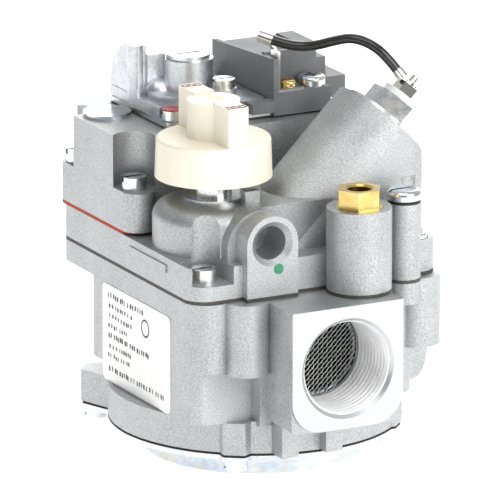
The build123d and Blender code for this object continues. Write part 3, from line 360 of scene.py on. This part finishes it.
def away_from_axis(
    tree: bpy.types.NodeTree, where: bpy.types.NodeSocket, x: float, z: float
) -> bpy.types.NodeSocket:
    """Give the distance from a line parallel to Y, as the root of dx squared plus dz squared.

    Args:
        tree: The node tree.
        where: Object coordinates.
        x: The line's x in metres.
        z: The line's z in metres.

    Returns:
        A socket with the distance in metres.
    """
    flat = add(
        tree,
        "ShaderNodeVectorMath",
        {"operation": "MULTIPLY_ADD"},
        {0: where, 1: (1, 0, 1), 2: (-x, 0, -z)},
    )
    return add(
        tree, "ShaderNodeVectorMath", {"operation": "LENGTH"}, {0: flat.outputs[0]}
    ).outputs["Value"]


def inside_box(
    tree: bpy.types.NodeTree,
    where: bpy.types.NodeSocket,
    centre: tuple[float, float, float],
    half: tuple[float, float, float],
) -> bpy.types.NodeSocket:
    """Give 1 inside an upright box and 0 outside it.

    Each coordinate's distance from the centre is taken less the half size, and a point is inside
    where the largest of the three is below nothing.

    Args:
        tree: The node tree.
        where: Object coordinates.
        centre: Middle of the box in metres.
        half: Half of its size along each axis.

    Returns:
        A socket with the mask.
    """
    off = add(tree, "ShaderNodeVectorMath", {"operation": "SUBTRACT"}, {0: where, 1: centre})
    far = add(tree, "ShaderNodeVectorMath", {"operation": "ABSOLUTE"}, {0: off.outputs[0]})
    over = add(
        tree, "ShaderNodeVectorMath", {"operation": "SUBTRACT"}, {0: far.outputs[0], 1: half}
    )
    axes = add(tree, "ShaderNodeSeparateXYZ", inputs={0: over.outputs[0]})
    two = add(
        tree, "ShaderNodeMath", {"operation": "MAXIMUM"}, {0: axes.outputs[0], 1: axes.outputs[1]}
    )
    most = add(
        tree, "ShaderNodeMath", {"operation": "MAXIMUM"}, {0: two.outputs[0], 1: axes.outputs[2]}
    )
    return add(
        tree, "ShaderNodeMath", {"operation": "LESS_THAN"}, {0: most.outputs[0], 1: 0.0}
    ).outputs[0]


@dataclass(frozen=True)
class PortedCasting(Finish):
    """Blasted die casting whose two port faces and bores have been cut bright by a machine, and
    whose inner chamber walls carry painted shade in a near-black colour.

    Lengths are in metres, and the distances along Y are counted from the middle both ways.
    """

    face_y: float = 0.0533
    port_x: float = 0.0005
    port_z: float = 0.0352
    bore_r: float = 0.0141
    bore_end_y: float = 0.0346
    chamber_half: tuple[float, float, float] = (0.0155, 0.0345, 0.016)
    # Painted shade: near-black colour for the inner chamber walls, standing in for the dark inside
    # the casting.
    chamber_painted_shade: str = "#1C1C1D"
    cut_low: str = "#BBBCBE"
    cut_high: str = "#D5D6D8"
    ring_offset: tuple[float, float] = (0.004, 0.002)
    ring_scale: float = 900.0

    def extend(self, tree: bpy.types.NodeTree, parts: dict[str, Any]) -> None:
        """Mix in the machined colour and smoother roughness on the port faces and in the bores, and
        paint shade inside the chamber as a near-black colour.
        """
        axes = add(tree, "ShaderNodeSeparateXYZ", inputs={0: parts["where"]})
        reach = add(tree, "ShaderNodeMath", {"operation": "ABSOLUTE"}, {0: axes.outputs[1]})
        face = add(
            tree,
            "ShaderNodeMath",
            {"operation": "GREATER_THAN"},
            {0: reach.outputs[0], 1: self.face_y},
        )
        off = away_from_axis(tree, parts["where"], self.port_x, self.port_z)
        inside = add(tree, "ShaderNodeMath", {"operation": "LESS_THAN"}, {0: off, 1: self.bore_r})
        deep = add(
            tree,
            "ShaderNodeMath",
            {"operation": "GREATER_THAN"},
            {0: reach.outputs[0], 1: self.bore_end_y},
        )
        bore = add(
            tree,
            "ShaderNodeMath",
            {"operation": "MULTIPLY"},
            {0: inside.outputs[0], 1: deep.outputs[0]},
        )
        mask = add(
            tree,
            "ShaderNodeMath",
            {"operation": "MAXIMUM"},
            {0: face.outputs[0], 1: bore.outputs[0]},
        )
        aside, below = self.ring_offset
        centred = add(
            tree,
            "ShaderNodeMapping",
            inputs={
                "Vector": parts["where"],
                "Location": (-self.port_x - aside, 0.0, -self.port_z - below),
            },
        )
        cut = add(
            tree,
            "ShaderNodeTexWave",
            {"wave_type": "RINGS", "rings_direction": "Y"},
            {
                "Vector": centred.outputs[0],
                "Scale": self.ring_scale,
                "Distortion": 1.2,
                "Detail": 2.0,
                "Detail Scale": 6.0,
            },
        )
        bright = add(tree, "ShaderNodeValToRGB", inputs={"Fac": cut.outputs["Fac"]})
        ramp(bright, [(0.0, self.cut_low), (1.0, self.cut_high)])
        parts["colour"] = add(
            tree,
            "ShaderNodeMix",
            {"data_type": "RGBA"},
            {0: mask.outputs[0], 6: parts["colour"], 7: bright.outputs[0]},
        ).outputs[2]
        smoother = add(
            tree,
            "ShaderNodeMapRange",
            inputs={"Value": cut.outputs["Fac"], "To Min": 0.3, "To Max": 0.42},
        )
        parts["rough"] = add(
            tree,
            "ShaderNodeMix",
            {"data_type": "FLOAT"},
            {0: mask.outputs[0], 2: parts["rough"], 3: smoother.outputs[0]},
        ).outputs[0]
        # Painted shade: colour the inside of the chamber near black.
        chamber = inside_box(
            tree, parts["where"], (self.port_x, 0.0, self.port_z), self.chamber_half
        )
        parts["colour"] = add(
            tree,
            "ShaderNodeMix",
            {"data_type": "RGBA"},
            {0: chamber, 6: parts["colour"], 7: linear(self.chamber_painted_shade)},
        ).outputs[2]


@dataclass(frozen=True)
class ScuffedPlastic(Finish):
    """Dark moulded plastic with pale scuffs along its edges and faces from handling."""

    scuff: str = "#8A8C8D"

    def extend(self, tree: bpy.types.NodeTree, parts: dict[str, Any]) -> None:
        """Lighten thin streaks where a stretched noise passes a high level."""
        along = add(
            tree,
            "ShaderNodeMapping",
            inputs={
                "Vector": parts["where"],
                "Rotation": (0.0, radians(38), radians(20)),
                "Scale": (1.0, 1.0, 0.16),
            },
        )
        streak = add(
            tree,
            "ShaderNodeTexNoise",
            inputs={
                "Vector": along.outputs[0],
                "Scale": 900.0,
                "Detail": 4.0,
                "Roughness": 0.7,
            },
        )
        mask = add(
            tree,
            "ShaderNodeMapRange",
            inputs={
                "Value": streak.outputs["Fac"],
                "From Min": 0.62,
                "From Max": 0.72,
                "To Min": 0.0,
                "To Max": 0.5,
            },
        )
        parts["colour"] = add(
            tree,
            "ShaderNodeMix",
            {"data_type": "RGBA"},
            {0: mask.outputs[0], 6: parts["colour"], 7: linear(self.scuff)},
        ).outputs[2]


@dataclass(frozen=True)
class PassivatedZinc(Finish):
    """Bright zinc plate, with the faint blue and straw clouds that passivating leaves."""

    blue: str = "#DCE6F0"
    between: str = "#EAEDEF"
    straw: str = "#EDEADF"

    def extend(self, tree: bpy.types.NodeTree, parts: dict[str, Any]) -> None:
        """Wash the plate with a slow change between a bluish and a straw tint."""
        slow = add(
            tree,
            "ShaderNodeTexNoise",
            inputs={"Vector": parts["where"], "Scale": 160.0, "Detail": 2.0},
        )
        wash = add(tree, "ShaderNodeValToRGB", inputs={"Fac": slow.outputs["Fac"]})
        ramp(wash, [(0.38, self.blue), (0.5, self.between), (0.64, self.straw)])
        parts["colour"] = add(
            tree,
            "ShaderNodeMix",
            {"data_type": "RGBA", "blend_type": "MULTIPLY"},
            {0: 0.8, 6: parts["colour"], 7: wash.outputs[0]},
        ).outputs[2]


# Aluminium alloy, die cast and bead blasted: an even light grey with a fine sparkle.
CASTING = Finish(
    "bead_blasted_aluminium", "#D1D4D4", "#959898", 0.85, 0.5, 0.07, 0.36, 0.035, 16.0, 0.3
)
PORTED = PortedCasting(
    "bead_blasted_aluminium_with_cut_ports",
    CASTING.light,
    CASTING.dark,
    CASTING.metallic,
    CASTING.roughness,
    CASTING.spread,
    CASTING.grain_mm,
    CASTING.relief_mm,
    CASTING.cloud_mm,
    CASTING.cloud,
)
# Zinc alloy as it leaves the die: smoother and shinier, with soft flow clouds.
DIE_CAST_ZINC = Finish(
    "as_cast_zinc_alloy", "#E2E5E8", "#B2B6BA", 0.9, 0.36, 0.08, 0.9, 0.02, 6.0, 0.6
)
# Steel, zinc plated and passivated: bright, slightly blue.
ZINC_PLATE = PassivatedZinc(
    "passivated_zinc_plate", "#FAFAFA", "#D6D8DA", 1.0, 0.24, 0.06, 0.7, 0.006, 6.0, 0.5
)
# Steel sheet, rolled and zinc plated: bright, with its grain drawn out one way.
ZINC_SHEET = PassivatedZinc(
    "zinc_plated_pressing",
    "#FAFBFB",
    "#D2D4D6",
    1.0,
    0.3,
    0.07,
    1.2,
    0.01,
    18.0,
    0.6,
    Grain.ROLLED,
)
# Urea moulding, cream: smooth with a faint satin bloom.
CREAM = Finish(
    "cream_urea_moulding", "#F2EBDA", "#EDE5D1", 0.0, 0.42, 0.05, 0.9, 0.006, 11.0, 0.7
)
# Phenolic moulding, dark grey.
DARK_PLASTIC = ScuffedPlastic(
    "dark_grey_phenolic_moulding", "#7C7E80", "#626466", 0.0, 0.5, 0.08, 0.5, 0.012, 9.0, 0.5
)
# Brass bar, turned or milled, with a light tarnish in the clouds.
BRASS = Finish(
    "turned_brass", "#EFD892", "#C6A35C", 1.0, 0.24, 0.07, 0.5, 0.006, 4.0, 0.6, Grain.TURNED
)
# Tinned brass stampings: dull grey-yellow metal.
TINNED = Finish("tinned_brass", "#D9D6C6", "#9C9984", 1.0, 0.3, 0.08, 0.6, 0.01, 2.5, 0.6)
# Vulcanised fibre sheet, red.
RED_FIBRE = Finish(
    "red_vulcanised_fibre", "#C5492F", "#8E2C1C", 0.0, 0.7, 0.05, 0.3, 0.02, 6.0, 0.4
)
# Nitrile rubber sheet, black.
RUBBER = Finish("nitrile_rubber", "#222222", "#121212", 0.0, 0.6, 0.06, 0.4, 0.01, 6.0, 0.4)
# Fibre sheet with graphite, cut: dark and matt.
GASKET = Finish(
    "graphited_gasket_sheet", "#55544F", "#34332F", 0.0, 0.65, 0.05, 0.4, 0.02, 6.0, 0.4
)
# Poly(vinyl chloride) insulation, extruded, black and glossy.
PVC = Finish(
    "glossy_black_pvc", "#2B2A29", "#1B1A1A", 0.0, 0.22, 0.05, 1.5, 0.008, 6.0, 0.6, coat=0.3
)
# Nylon, moulded, white.
WHITE_PLASTIC = Finish(
    "white_nylon", "#EDEDEB", "#D6D6D2", 0.0, 0.45, 0.05, 0.5, 0.01, 5.0, 0.5
)
# Vinyl label, white and slightly glossy.
LABEL = Finish("white_vinyl_label", "#FAFAF8", "#F1F1EF", 0.0, 0.35, 0.05, 0.6, 0.004, 9.0, 0.5)
# Thermal and pad printing inks: thin, flat and dull.
INK = Finish("black_thermal_ink", "#3A3A3C", "#1E1E20", 0.0, 0.55, 0.05, 0.25, 0.004, 2.0, 0.3)
RED_INK = Finish("dark_red_pad_ink", "#8C2F3A", "#5E1C26", 0.0, 0.5, 0.05, 0.3, 0.004, 2.0, 0.4)
# Marking paints, dabbed on by hand: thicker at the middle and slightly glossy.
SEAL_PAINT = Finish("red_sealing_paint", "#B8404A", "#8A2630", 0.0, 0.35, 0.06, 0.6, 0.05, 2.0, 0.5)
GREEN_PAINT = Finish(
    "green_check_paint", "#3E9B72", "#2A7A58", 0.0, 0.35, 0.06, 0.6, 0.03, 1.6, 0.5
)
# Steel wire, tinned and woven: bright, and dull in its crossings.
WIRE = Finish("tinned_steel_wire", "#F2F3F1", "#C9CBC9", 0.4, 0.4, 0.08, 0.3, 0.006, 3.0, 0.4)
# Aluminium freshly cut by the tap, pale in itself; its colour is also raised near white and made
# less metallic as painted light, for the light falling into the bores.
CUT_THREAD = Finish(
    "cut_aluminium_thread",
    "#FAFAFA",
    "#DFDFDE",
    0.25,
    0.36,
    0.08,
    0.4,
    0.02,
    5.0,
    0.5,
    Grain.BRUSHED_X,
)
# Copper wire in clear enamel, wound: reddish, with a fine grain for its turns.
COPPER = Finish("enamelled_copper", "#C46A3A", "#8E4322", 1.0, 0.3, 0.05, 0.25, 0.02, 2.0, 0.4)


# ---------------------------------------------------------------------------------------------
# The valve's sub-assemblies
# ---------------------------------------------------------------------------------------------


@dataclass
class Assembly:
    """A group of CAD pieces that are dressed together, with the new pieces made for them.

    Sizes and places in these classes are in millimetres.
    """

    def paint(self, finish: Finish, *names: str) -> None:
        """Give CAD pieces a finish.

        Args:
            finish: The finish to give.
            names: Names of the CAD pieces.
        """
        for name in names:
            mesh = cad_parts[name].data
            mesh.materials.clear()
            mesh.materials.append(finish.material())
            log.info("dressed %s in %s", name, finish.name)

    def keep(
        self, piece: bpy.types.Object, finish: Finish, body: str, slot: str
    ) -> bpy.types.Object:
        """Finish a new piece and let it ride on a body.

        Args:
            piece: The new object.
            finish: Its finish.
            body: The CAD body that carries it.
            slot: The record's material slot that it belongs to; not used.

        Returns:
            The same object.
        """
        piece.data.materials.clear()
        piece.data.materials.append(finish.material())
        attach(piece, body)
        log.info("made %s in %s", piece.name, finish.name)
        return piece


@dataclass
class LowerBody(Assembly):
    """Lower casting with its ports, bottom cover, main valve and inlet screen."""

    port_x: float = 0.5
    port_z: float = 35.2
    face_y: float = 53.5
    bore_r: float = 13.08
    pitch: float = 1.814
    thread_depth: float = 0.6
    thread_start: float = 0.95
    thread_end: float = 18.3
    thread_gap: float = 0.04
    lead_in: float = 0.4
    run_out: float = 0.8
    screen_y: float = -34.25
    screen_r: float = 12.5
    wire_r: float = 0.17
    wire_pitch: float = 1.0
    label_x: float = -36.99
    label_edge_y: float = 17.2
    label_width: float = 36.0
    print_height: float = 0.03
    print_seed: int = 11
    print_rows: tuple[tuple[float, float], ...] = (
        (43.2, 0.62),
        (40.2, 0.42),
        (37.4, 0.42),
        (34.6, 0.36),
        (31.8, 0.72),
        (28.9, 0.42),
        (26.2, 0.4),
        (22.4, 0.95),
    )
    ring_y: float = -6.6
    ring_z: float = 39.2
    ring_r: float = 2.3
    ring_stroke: float = 0.52
    ring_squash: float = 0.95

    def thread(self, name: str, side: float) -> bpy.types.Object:
        """Cut a taper pipe thread inside a port.

        With a the angle around the bore and d the depth into it, the inner surface's radius is the
        bore's radius less the thread's depth times a rounded ridge that repeats each pitch of
        d - pitch a / 2 pi, and the depth fades out where the tap ends.  The grid then returns along
        the bore's wall to close the shell.

        Args:
            name: Name of the object.
            side: -1 for the inlet, 1 for the outlet.

        Returns:
            The thread's object.
        """
        a = np.linspace(0, 2 * pi, 144, endpoint=False)
        d = np.linspace(self.thread_start, self.thread_end, 140)
        aa, dd = np.meshgrid(a, d, indexing="ij")
        phase = (dd / self.pitch - side * aa / (2 * pi)) % 1.0
        ridge = np.clip(1.25 - 2.5 * np.abs(phase - 0.5), 0.0, 1.0)
        fade = np.clip((self.thread_end - dd) / self.run_out, 0, 1) * np.clip(
            (dd - self.thread_start) / self.lead_in, 0, 1
        )
        inner = self.bore_r - self.thread_gap - self.thread_depth * ridge * fade
        outer = np.full((len(a), 2), self.bore_r)
        depth = np.concatenate([dd, np.tile([[d[-1], d[0]]], (len(a), 1))], axis=1)
        radius = np.concatenate([inner, outer], axis=1)
        ring = a[:, None]
        points = np.stack(
            [
                self.port_x + radius * np.cos(ring),
                side * (self.face_y - depth),
                self.port_z + radius * np.sin(ring),
            ],
            axis=-1,
        )
        faces = ring_faces(len(a), depth.shape[1], wrap_rows=True)
        if side < 0:
            faces = faces[:, ::-1]
        return mesh_object(name, points.reshape(-1, 3) * MM, faces)

    def screen(self) -> bpy.types.Object:
        """Weave the inlet screen from two sets of wires at 45 degrees.

        Each wire runs along a chord of the disc and rises and falls as a cosine of its length, up
        where the crossing wire is down.  Its section is a hexagon carried along that line.

        Returns:
            The woven screen.
        """
        places = np.arange(-self.screen_r + 0.6, self.screen_r - 0.5, self.wire_pitch)
        along = np.linspace(-1.0, 1.0, 110)
        turn = np.linspace(0, 2 * pi, 6, endpoint=False)
        groups = []
        for weft in (0, 1):
            half = np.sqrt(self.screen_r**2 - places**2)
            s = half[:, None] * along[None]
            number = np.arange(len(places))[:, None]
            rise = self.wire_r * np.cos(pi * s / self.wire_pitch + pi * (number + weft))
            c = places[:, None] + 0 * s
            u, v = (s, c) if weft == 0 else (c, s)
            x = (u - v) / 2**0.5
            z = (u + v) / 2**0.5
            across = np.array([1, 0, -1]) if weft else np.array([-1, 0, 1])
            centre = np.stack([x, rise + self.screen_y, z], axis=-1)
            section = self.wire_r * (
                np.cos(turn)[:, None] * (across / 2**0.5)[None]
                + np.sin(turn)[:, None] * np.array([0.0, 1.0, 0.0])[None]
            )
            tubes = centre[:, :, None, :] + section[None, None]
            closed = np.concatenate(
                [
                    np.repeat(centre[:, :1, None, :], 6, axis=2),
                    tubes,
                    np.repeat(centre[:, -1:, None, :], 6, axis=2),
                ],
                axis=1,
            )
            groups.append(closed)
        wires = np.concatenate(groups, axis=0)
        wires[..., 0] += self.port_x
        wires[..., 2] += self.port_z
        count, rows = wires.shape[0], wires.shape[1]
        one = ring_faces(rows, 6, wrap_rows=False)
        faces = (one[None] + rows * 6 * np.arange(count)[:, None, None]).reshape(-1, 4)
        return mesh_object("woven_inlet_screen", wires.reshape(-1, 3) * MM, faces)

    def label_marks(self) -> bpy.types.Object:
        """Print generic dashes in rows on the label, of lengths drawn from a fixed seed.

        Each row starts at the label's edge and is filled as far as its share of the width, with
        taller dashes in the long rows.

        Returns:
            The printed marks, standing slightly proud of the label.
        """
        rng = np.random.default_rng(self.print_seed)
        low, high = [], []
        for level, share in self.print_rows:
            place = self.label_edge_y - np.cumsum(rng.uniform(1.0, 2.1, 40))
            width = rng.uniform(0.45, 0.95, 40)
            inside = place > self.label_edge_y - self.label_width * share
            tall = 1.35 if share > 0.6 else 1.1
            p, w = place[inside], width[inside]
            shift = rng.uniform(-0.2, 0.2, len(p))
            outer = np.full_like(p, self.label_x - self.print_height)
            inner = np.full_like(p, self.label_x)
            low.append(np.stack([outer, p - w, level - tall / 2 + shift], 1))
            high.append(np.stack([inner, p, level + tall / 2 + shift], 1))
        return boxes("label_marks", np.concatenate(low) * MM, np.concatenate(high) * MM)

    def label_ring(self) -> bpy.types.Object:
        """Print a plain ring as a generic mark on the label.

        Returns:
            The ring, a flat band swept once around a circle.
        """
        a = np.linspace(0, 2 * pi, 60, endpoint=False)
        rise, half = self.print_height, self.ring_stroke / 2
        section = np.array([[0.0, -half], [rise, -half], [rise, half], [0.0, half]])
        r = self.ring_r + section[None, :, 1]
        points = np.stack(
            [
                self.label_x - section[None, :, 0] + 0 * a[:, None],
                self.ring_y - r * np.cos(a)[:, None] * self.ring_squash,
                self.ring_z + r * np.sin(a)[:, None],
            ],
            axis=-1,
        )
        faces = ring_faces(len(points), 4, wrap_rows=True)
        return mesh_object("label_ring", points.reshape(-1, 3) * MM, faces, smooth=False)

    def build(self) -> None:
        """Dress the lower casting and make its thread, screen and label print."""
        self.paint(PORTED, "lower_body")
        self.paint(ZINC_SHEET, "bottom_cover")
        self.paint(ZINC_PLATE, "cover_screws", "body_screws", "screen_ring", "diaphragm_plate",
                   "main_valve_spring", "main_valve_stem")
        self.paint(RUBBER, "main_diaphragm", "main_valve_disc")
        self.paint(GASKET, "body_gasket")
        self.paint(LABEL, "label")
        self.keep(self.thread("inlet_thread", -1.0), CUT_THREAD, BODY, "cast_aluminium")
        self.keep(self.thread("outlet_thread", 1.0), CUT_THREAD, BODY, "cast_aluminium")
        screen = self.keep(self.screen(), WIRE, BODY, "steel_mesh")
        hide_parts("inlet_screen")
        self.keep(self.label_marks(), INK, BODY, "silver_label")
        self.keep(self.label_ring(), INK, BODY, "silver_label")


@dataclass
class UpperBody(Assembly):
    """Upper casting with the gas cock, the reset lever and the pilot fittings."""

    check_dot: tuple[float, float, float] = (-12.6, -38.2, 60.9)
    dot_r: float = 1.5
    dot_height: float = 0.12

    def build(self) -> None:
        """Dress the upper casting and what is let into it."""
        self.paint(CASTING, "upper_body")
        self.paint(BRASS, "cock_plug", "pilot_nut", "pilot_needle")
        self.paint(ZINC_PLATE, "cock_spring", "cock_retainer", "reset_lever", "lever_pin",
                   "knob_return_spring", "pilot_cover_screw", "stem_bushing")
        self.paint(RUBBER, "stem_o_ring", "pilot_cover_o_ring")
        place = [c * MM for c in self.check_dot]
        dot = dome("green_check_dot", place, (0, -1, 0), self.dot_r * MM, self.dot_height * MM)
        self.keep(dot, GREEN_PAINT, BODY, "cast_aluminium")


@dataclass
class Knob(Assembly):
    """Cream control knob with pad-printed marks on both ends of its bar."""

    x: float = -18.9
    y: float = -12.1
    top: float = 103.6
    mark_half_width: float = 0.85
    mark_half_length: float = 1.3
    mark_line: float = 0.55
    mark_pitch: float = 1.95
    mark_rows: tuple[float, float] = (-13.4, 13.2)

    def marks(self) -> bpy.types.Object:
        """Print a row of three plain open boxes near both ends of the bar's top.

        Each box is four strokes: their low and high corners are laid out once around the box's
        middle and then moved to every place.

        Returns:
            The marks as thin blocks.
        """
        wide, deep, line = self.mark_half_width, self.mark_half_length, self.mark_line
        low = np.array([[-wide, -deep], [-wide, deep - line], [-wide, -deep], [wide - line, -deep]])
        high = np.array([[wide, line - deep], [wide, deep], [line - wide, deep], [wide, deep]])
        columns = self.mark_pitch * np.array([-1.0, 0.0, 1.0])
        across, along = np.meshgrid(columns, self.mark_rows, indexing="ij")
        places = np.stack([self.x + across.ravel(), self.y + along.ravel()], axis=1)
        low = (places[:, None] + low[None]).reshape(-1, 2)
        high = (places[:, None] + high[None]).reshape(-1, 2)
        low = np.c_[low, np.full(len(low), self.top - 0.01)]
        high = np.c_[high, np.full(len(high), self.top + 0.03)]
        return boxes("knob_marks", low * MM, high * MM)

    def build(self) -> None:
        """Dress the knob and its stem, and print its marks."""
        self.paint(CREAM, "knob")
        self.paint(ZINC_PLATE, "knob_stem")
        self.keep(self.marks(), RED_INK, KNOB, "cream_plastic")


@dataclass
class SafetyMagnet(Assembly):
    """Safety valve, holding magnet and its terminal on the tipped axis."""

    def build(self) -> None:
        """Dress the magnet group."""
        self.paint(ZINC_PLATE, "magnet_unit", "magnet_nut", "magnet_seal_disc", "armature",
                   "safety_spring")
        self.paint(RUBBER, "safety_disc")
        self.paint(WHITE_PLASTIC, "terminal_insulator")
        self.paint(TINNED, "terminal_nut", "terminal_stud", "ring_terminal")


@dataclass
class SideBlock(Assembly):
    """Side block with its red gasket, the operator, the regulator and the sealed screw."""

    seal_foot: tuple[float, float, float] = (-18.6, 13.3, 94.0)
    seal_r: float = 3.0
    seal_height: float = 0.6

    def build(self) -> None:
        """Dress the side block and the operator, and put paint on the sealed screw."""
        self.paint(CASTING, "side_block")
        self.paint(RED_FIBRE, "side_block_gasket")
        self.paint(GASKET, "operator_gasket")
        self.paint(DIE_CAST_ZINC, "operator_housing")
        self.paint(ZINC_PLATE, "side_block_screws", "operator_screws", "block_plug_disc",
                   "regulator_spring", "coil_yoke", "operator_flapper", "regulator_poppet")
        self.paint(ZINC_SHEET, "operator_plate", "regulator_cap")
        self.paint(BRASS, "regulator_adjuster")
        self.paint(RUBBER, "regulator_diaphragm")
        self.paint(COPPER, "operator_coil")
        foot = [c * MM for c in self.seal_foot]
        seal = dome("screw_seal_paint", foot, (0, 0, 1), self.seal_r * MM, self.seal_height * MM)
        self.keep(seal, SEAL_PAINT, BODY, "zinc_steel")


@dataclass
class TerminalBlock(Assembly):
    """Terminal block with its strip, screws and the lead to the magnet's terminal."""

    lead_r: float = 1.4
    lead_length: float = 38.4
    route: tuple[tuple[float, float, float], ...] = (
        (11.0, 10.5, 110.6),
        (14.6, 7.2, 109.3),
        (19.4, 3.0, 109.6),
        (23.6, -1.2, 111.6),
        (27.2, -4.8, 112.9),
        (30.6, -8.2, 111.9),
        (33.9, -11.4, 109.0),
        (36.6, -13.2, 104.8),
    )

    def lead(self) -> bpy.types.Object:
        """Lay the lead as one smooth curve through its clips.

        Returns:
            The lead, a round bevelled curve.
        """
        curve = bpy.data.curves.new("magnet_lead", "CURVE")
        curve.dimensions = "3D"
        curve.bevel_depth = self.lead_r * MM
        curve.bevel_resolution = 6
        curve.resolution_u = 16
        curve.use_fill_caps = True
        line = curve.splines.new("NURBS")
        line.points.add(len(self.route) - 1)
        rows = np.array(self.route) * MM
        line.points.foreach_set("co", np.c_[rows, np.ones(len(rows))].ravel())
        line.order_u = 3
        line.use_endpoint_u = True
        made = bpy.data.objects.new("magnet_lead", curve)
        bpy.context.scene.collection.objects.link(made)
        return made

    def build(self) -> None:
        """Dress the terminal block and lay the lead."""
        lead = self.keep(self.lead(), PVC, BODY, "black_pvc")
        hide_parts("power_lead")
        self.paint(DARK_PLASTIC, "terminal_block")
        self.paint(TINNED, "terminal_strip", "flag_terminal")
        self.paint(BRASS, "block_terminal_screw")
        self.paint(ZINC_PLATE, "block_common_screw")


# ---------------------------------------------------------------------------------------------
# Studio
# ---------------------------------------------------------------------------------------------


def towards(azimuth: float, elevation: float) -> Vector:
    """Give the direction from the object to a camera or a light.

    Args:
        azimuth: Angle about the upright from the front, in degrees.
        elevation: Angle over the floor, in degrees.

    Returns:
        A unit vector.
    """
    a, e = radians(azimuth), radians(elevation)
    return Vector((sin(a) * cos(e), -cos(a) * cos(e), sin(e)))


@dataclass
class Studio:
    """Camera, floor and soft lights, with lengths in metres and powers in watts."""

    azimuth: float = -27.4
    elevation: float = 15.7
    distance: float = 2.19
    lens: float = 576.0
    aim: tuple[float, float, float] = (-0.0015, 0.0, 0.0552)
    light_aim: tuple[float, float, float] = (0.0, 0.0, 0.06)
    light_distance: float = 1.1
    bright_side: tuple[float, float, float] = (0.42, 0.45, 0.7)
    sky_strength: float = 0.62
    floor_half: float = 6.0

    def camera(self) -> None:
        """Place the long-lens camera and make it the scene's camera."""
        data = bpy.data.cameras.new("camera")
        data.lens = self.lens
        data.sensor_width = 36.0
        data.clip_end = 20.0
        made = bpy.data.objects.new("camera", data)
        bpy.context.scene.collection.objects.link(made)
        way = towards(self.azimuth, self.elevation)
        made.location = Vector(self.aim) + way * self.distance
        made.rotation_euler = way.to_track_quat("Z", "Y").to_euler()
        bpy.context.scene.camera = made

    def softbox(
        self, name: str, azimuth: float, elevation: float, size: float, power: float
    ) -> None:
        """Hang a square soft light that faces the object.

        Args:
            name: Name of the light.
            azimuth: Angle about the upright from the front, in degrees.
            elevation: Angle over the floor, in degrees.
            size: Edge length in metres.
            power: Watts.
        """
        data = bpy.data.lights.new(name, "AREA")
        data.size = size
        data.energy = power
        made = bpy.data.objects.new(name, data)
        bpy.context.scene.collection.objects.link(made)
        way = towards(azimuth, elevation)
        made.location = Vector(self.light_aim) + way * self.light_distance
        made.rotation_euler = way.to_track_quat("Z", "Y").to_euler()

    def sky(self) -> None:
        """Surround the set with pale walls, bright above and behind, darker around the camera."""
        world = bpy.data.worlds.new("pale_room")
        bpy.context.scene.world = world
        world.use_nodes = True
        tree = world.node_tree
        tree.nodes.clear()
        where = add(tree, "ShaderNodeTexCoord")
        facing = add(
            tree,
            "ShaderNodeVectorMath",
            {"operation": "DOT_PRODUCT"},
            {0: where.outputs["Generated"], 1: self.bright_side},
        )
        shade = add(
            tree,
            "ShaderNodeMapRange",
            inputs={"Value": facing.outputs["Value"], "From Min": -0.6, "From Max": 0.8},
        )
        tint = add(tree, "ShaderNodeValToRGB", inputs={"Fac": shade.outputs[0]})
        ramp(tint, [(0.0, "#8A8C8E"), (0.45, "#C6C8CA"), (0.85, "#FFFFFF")])
        glow = add(
            tree,
            "ShaderNodeBackground",
            inputs={"Color": tint.outputs[0], "Strength": self.sky_strength},
        )
        add(tree, "ShaderNodeOutputWorld", inputs={"Surface": glow.outputs[0]})

    def floor(self) -> None:
        """Lay the plain pale floor under the valve."""
        low = np.array([[-self.floor_half, -self.floor_half, -0.02]])
        high = np.array([[self.floor_half, self.floor_half, -0.0001]])
        made = boxes("floor", low, high)
        finish = Finish(
            "lit_white_card", "#F7F7F7", "#F4F4F4", 0.0, 0.9, 0.02, 2.0, 0.0, 200.0, 0.5, glow=0.7
        )
        made.data.materials.append(finish.material())

    def build(self) -> None:
        """Set up the camera, the floor and the lights."""
        self.camera()
        self.sky()
        self.floor()
        self.softbox("key", -38.0, 58.0, 0.8, 3.6)
        self.softbox("front", 18.0, 27.0, 0.7, 7.2)
        self.softbox("back", 150.0, 24.0, 1.0, 7.0)
        bpy.context.scene.view_settings.view_transform = "Standard"


def main() -> None:
    """Build the studio and each sub-assembly in order."""
    logging.basicConfig(level=logging.INFO, format="%(name)s: %(message)s")
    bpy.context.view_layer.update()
    Studio().build()
    for part in (TerminalBlock(), LowerBody(), UpperBody(), Knob(), SafetyMagnet(), SideBlock()):
        log.info("building %s", type(part).__name__)
        part.build()
    bpy.context.view_layer.update()


if __name__ == "__main__":
    main()
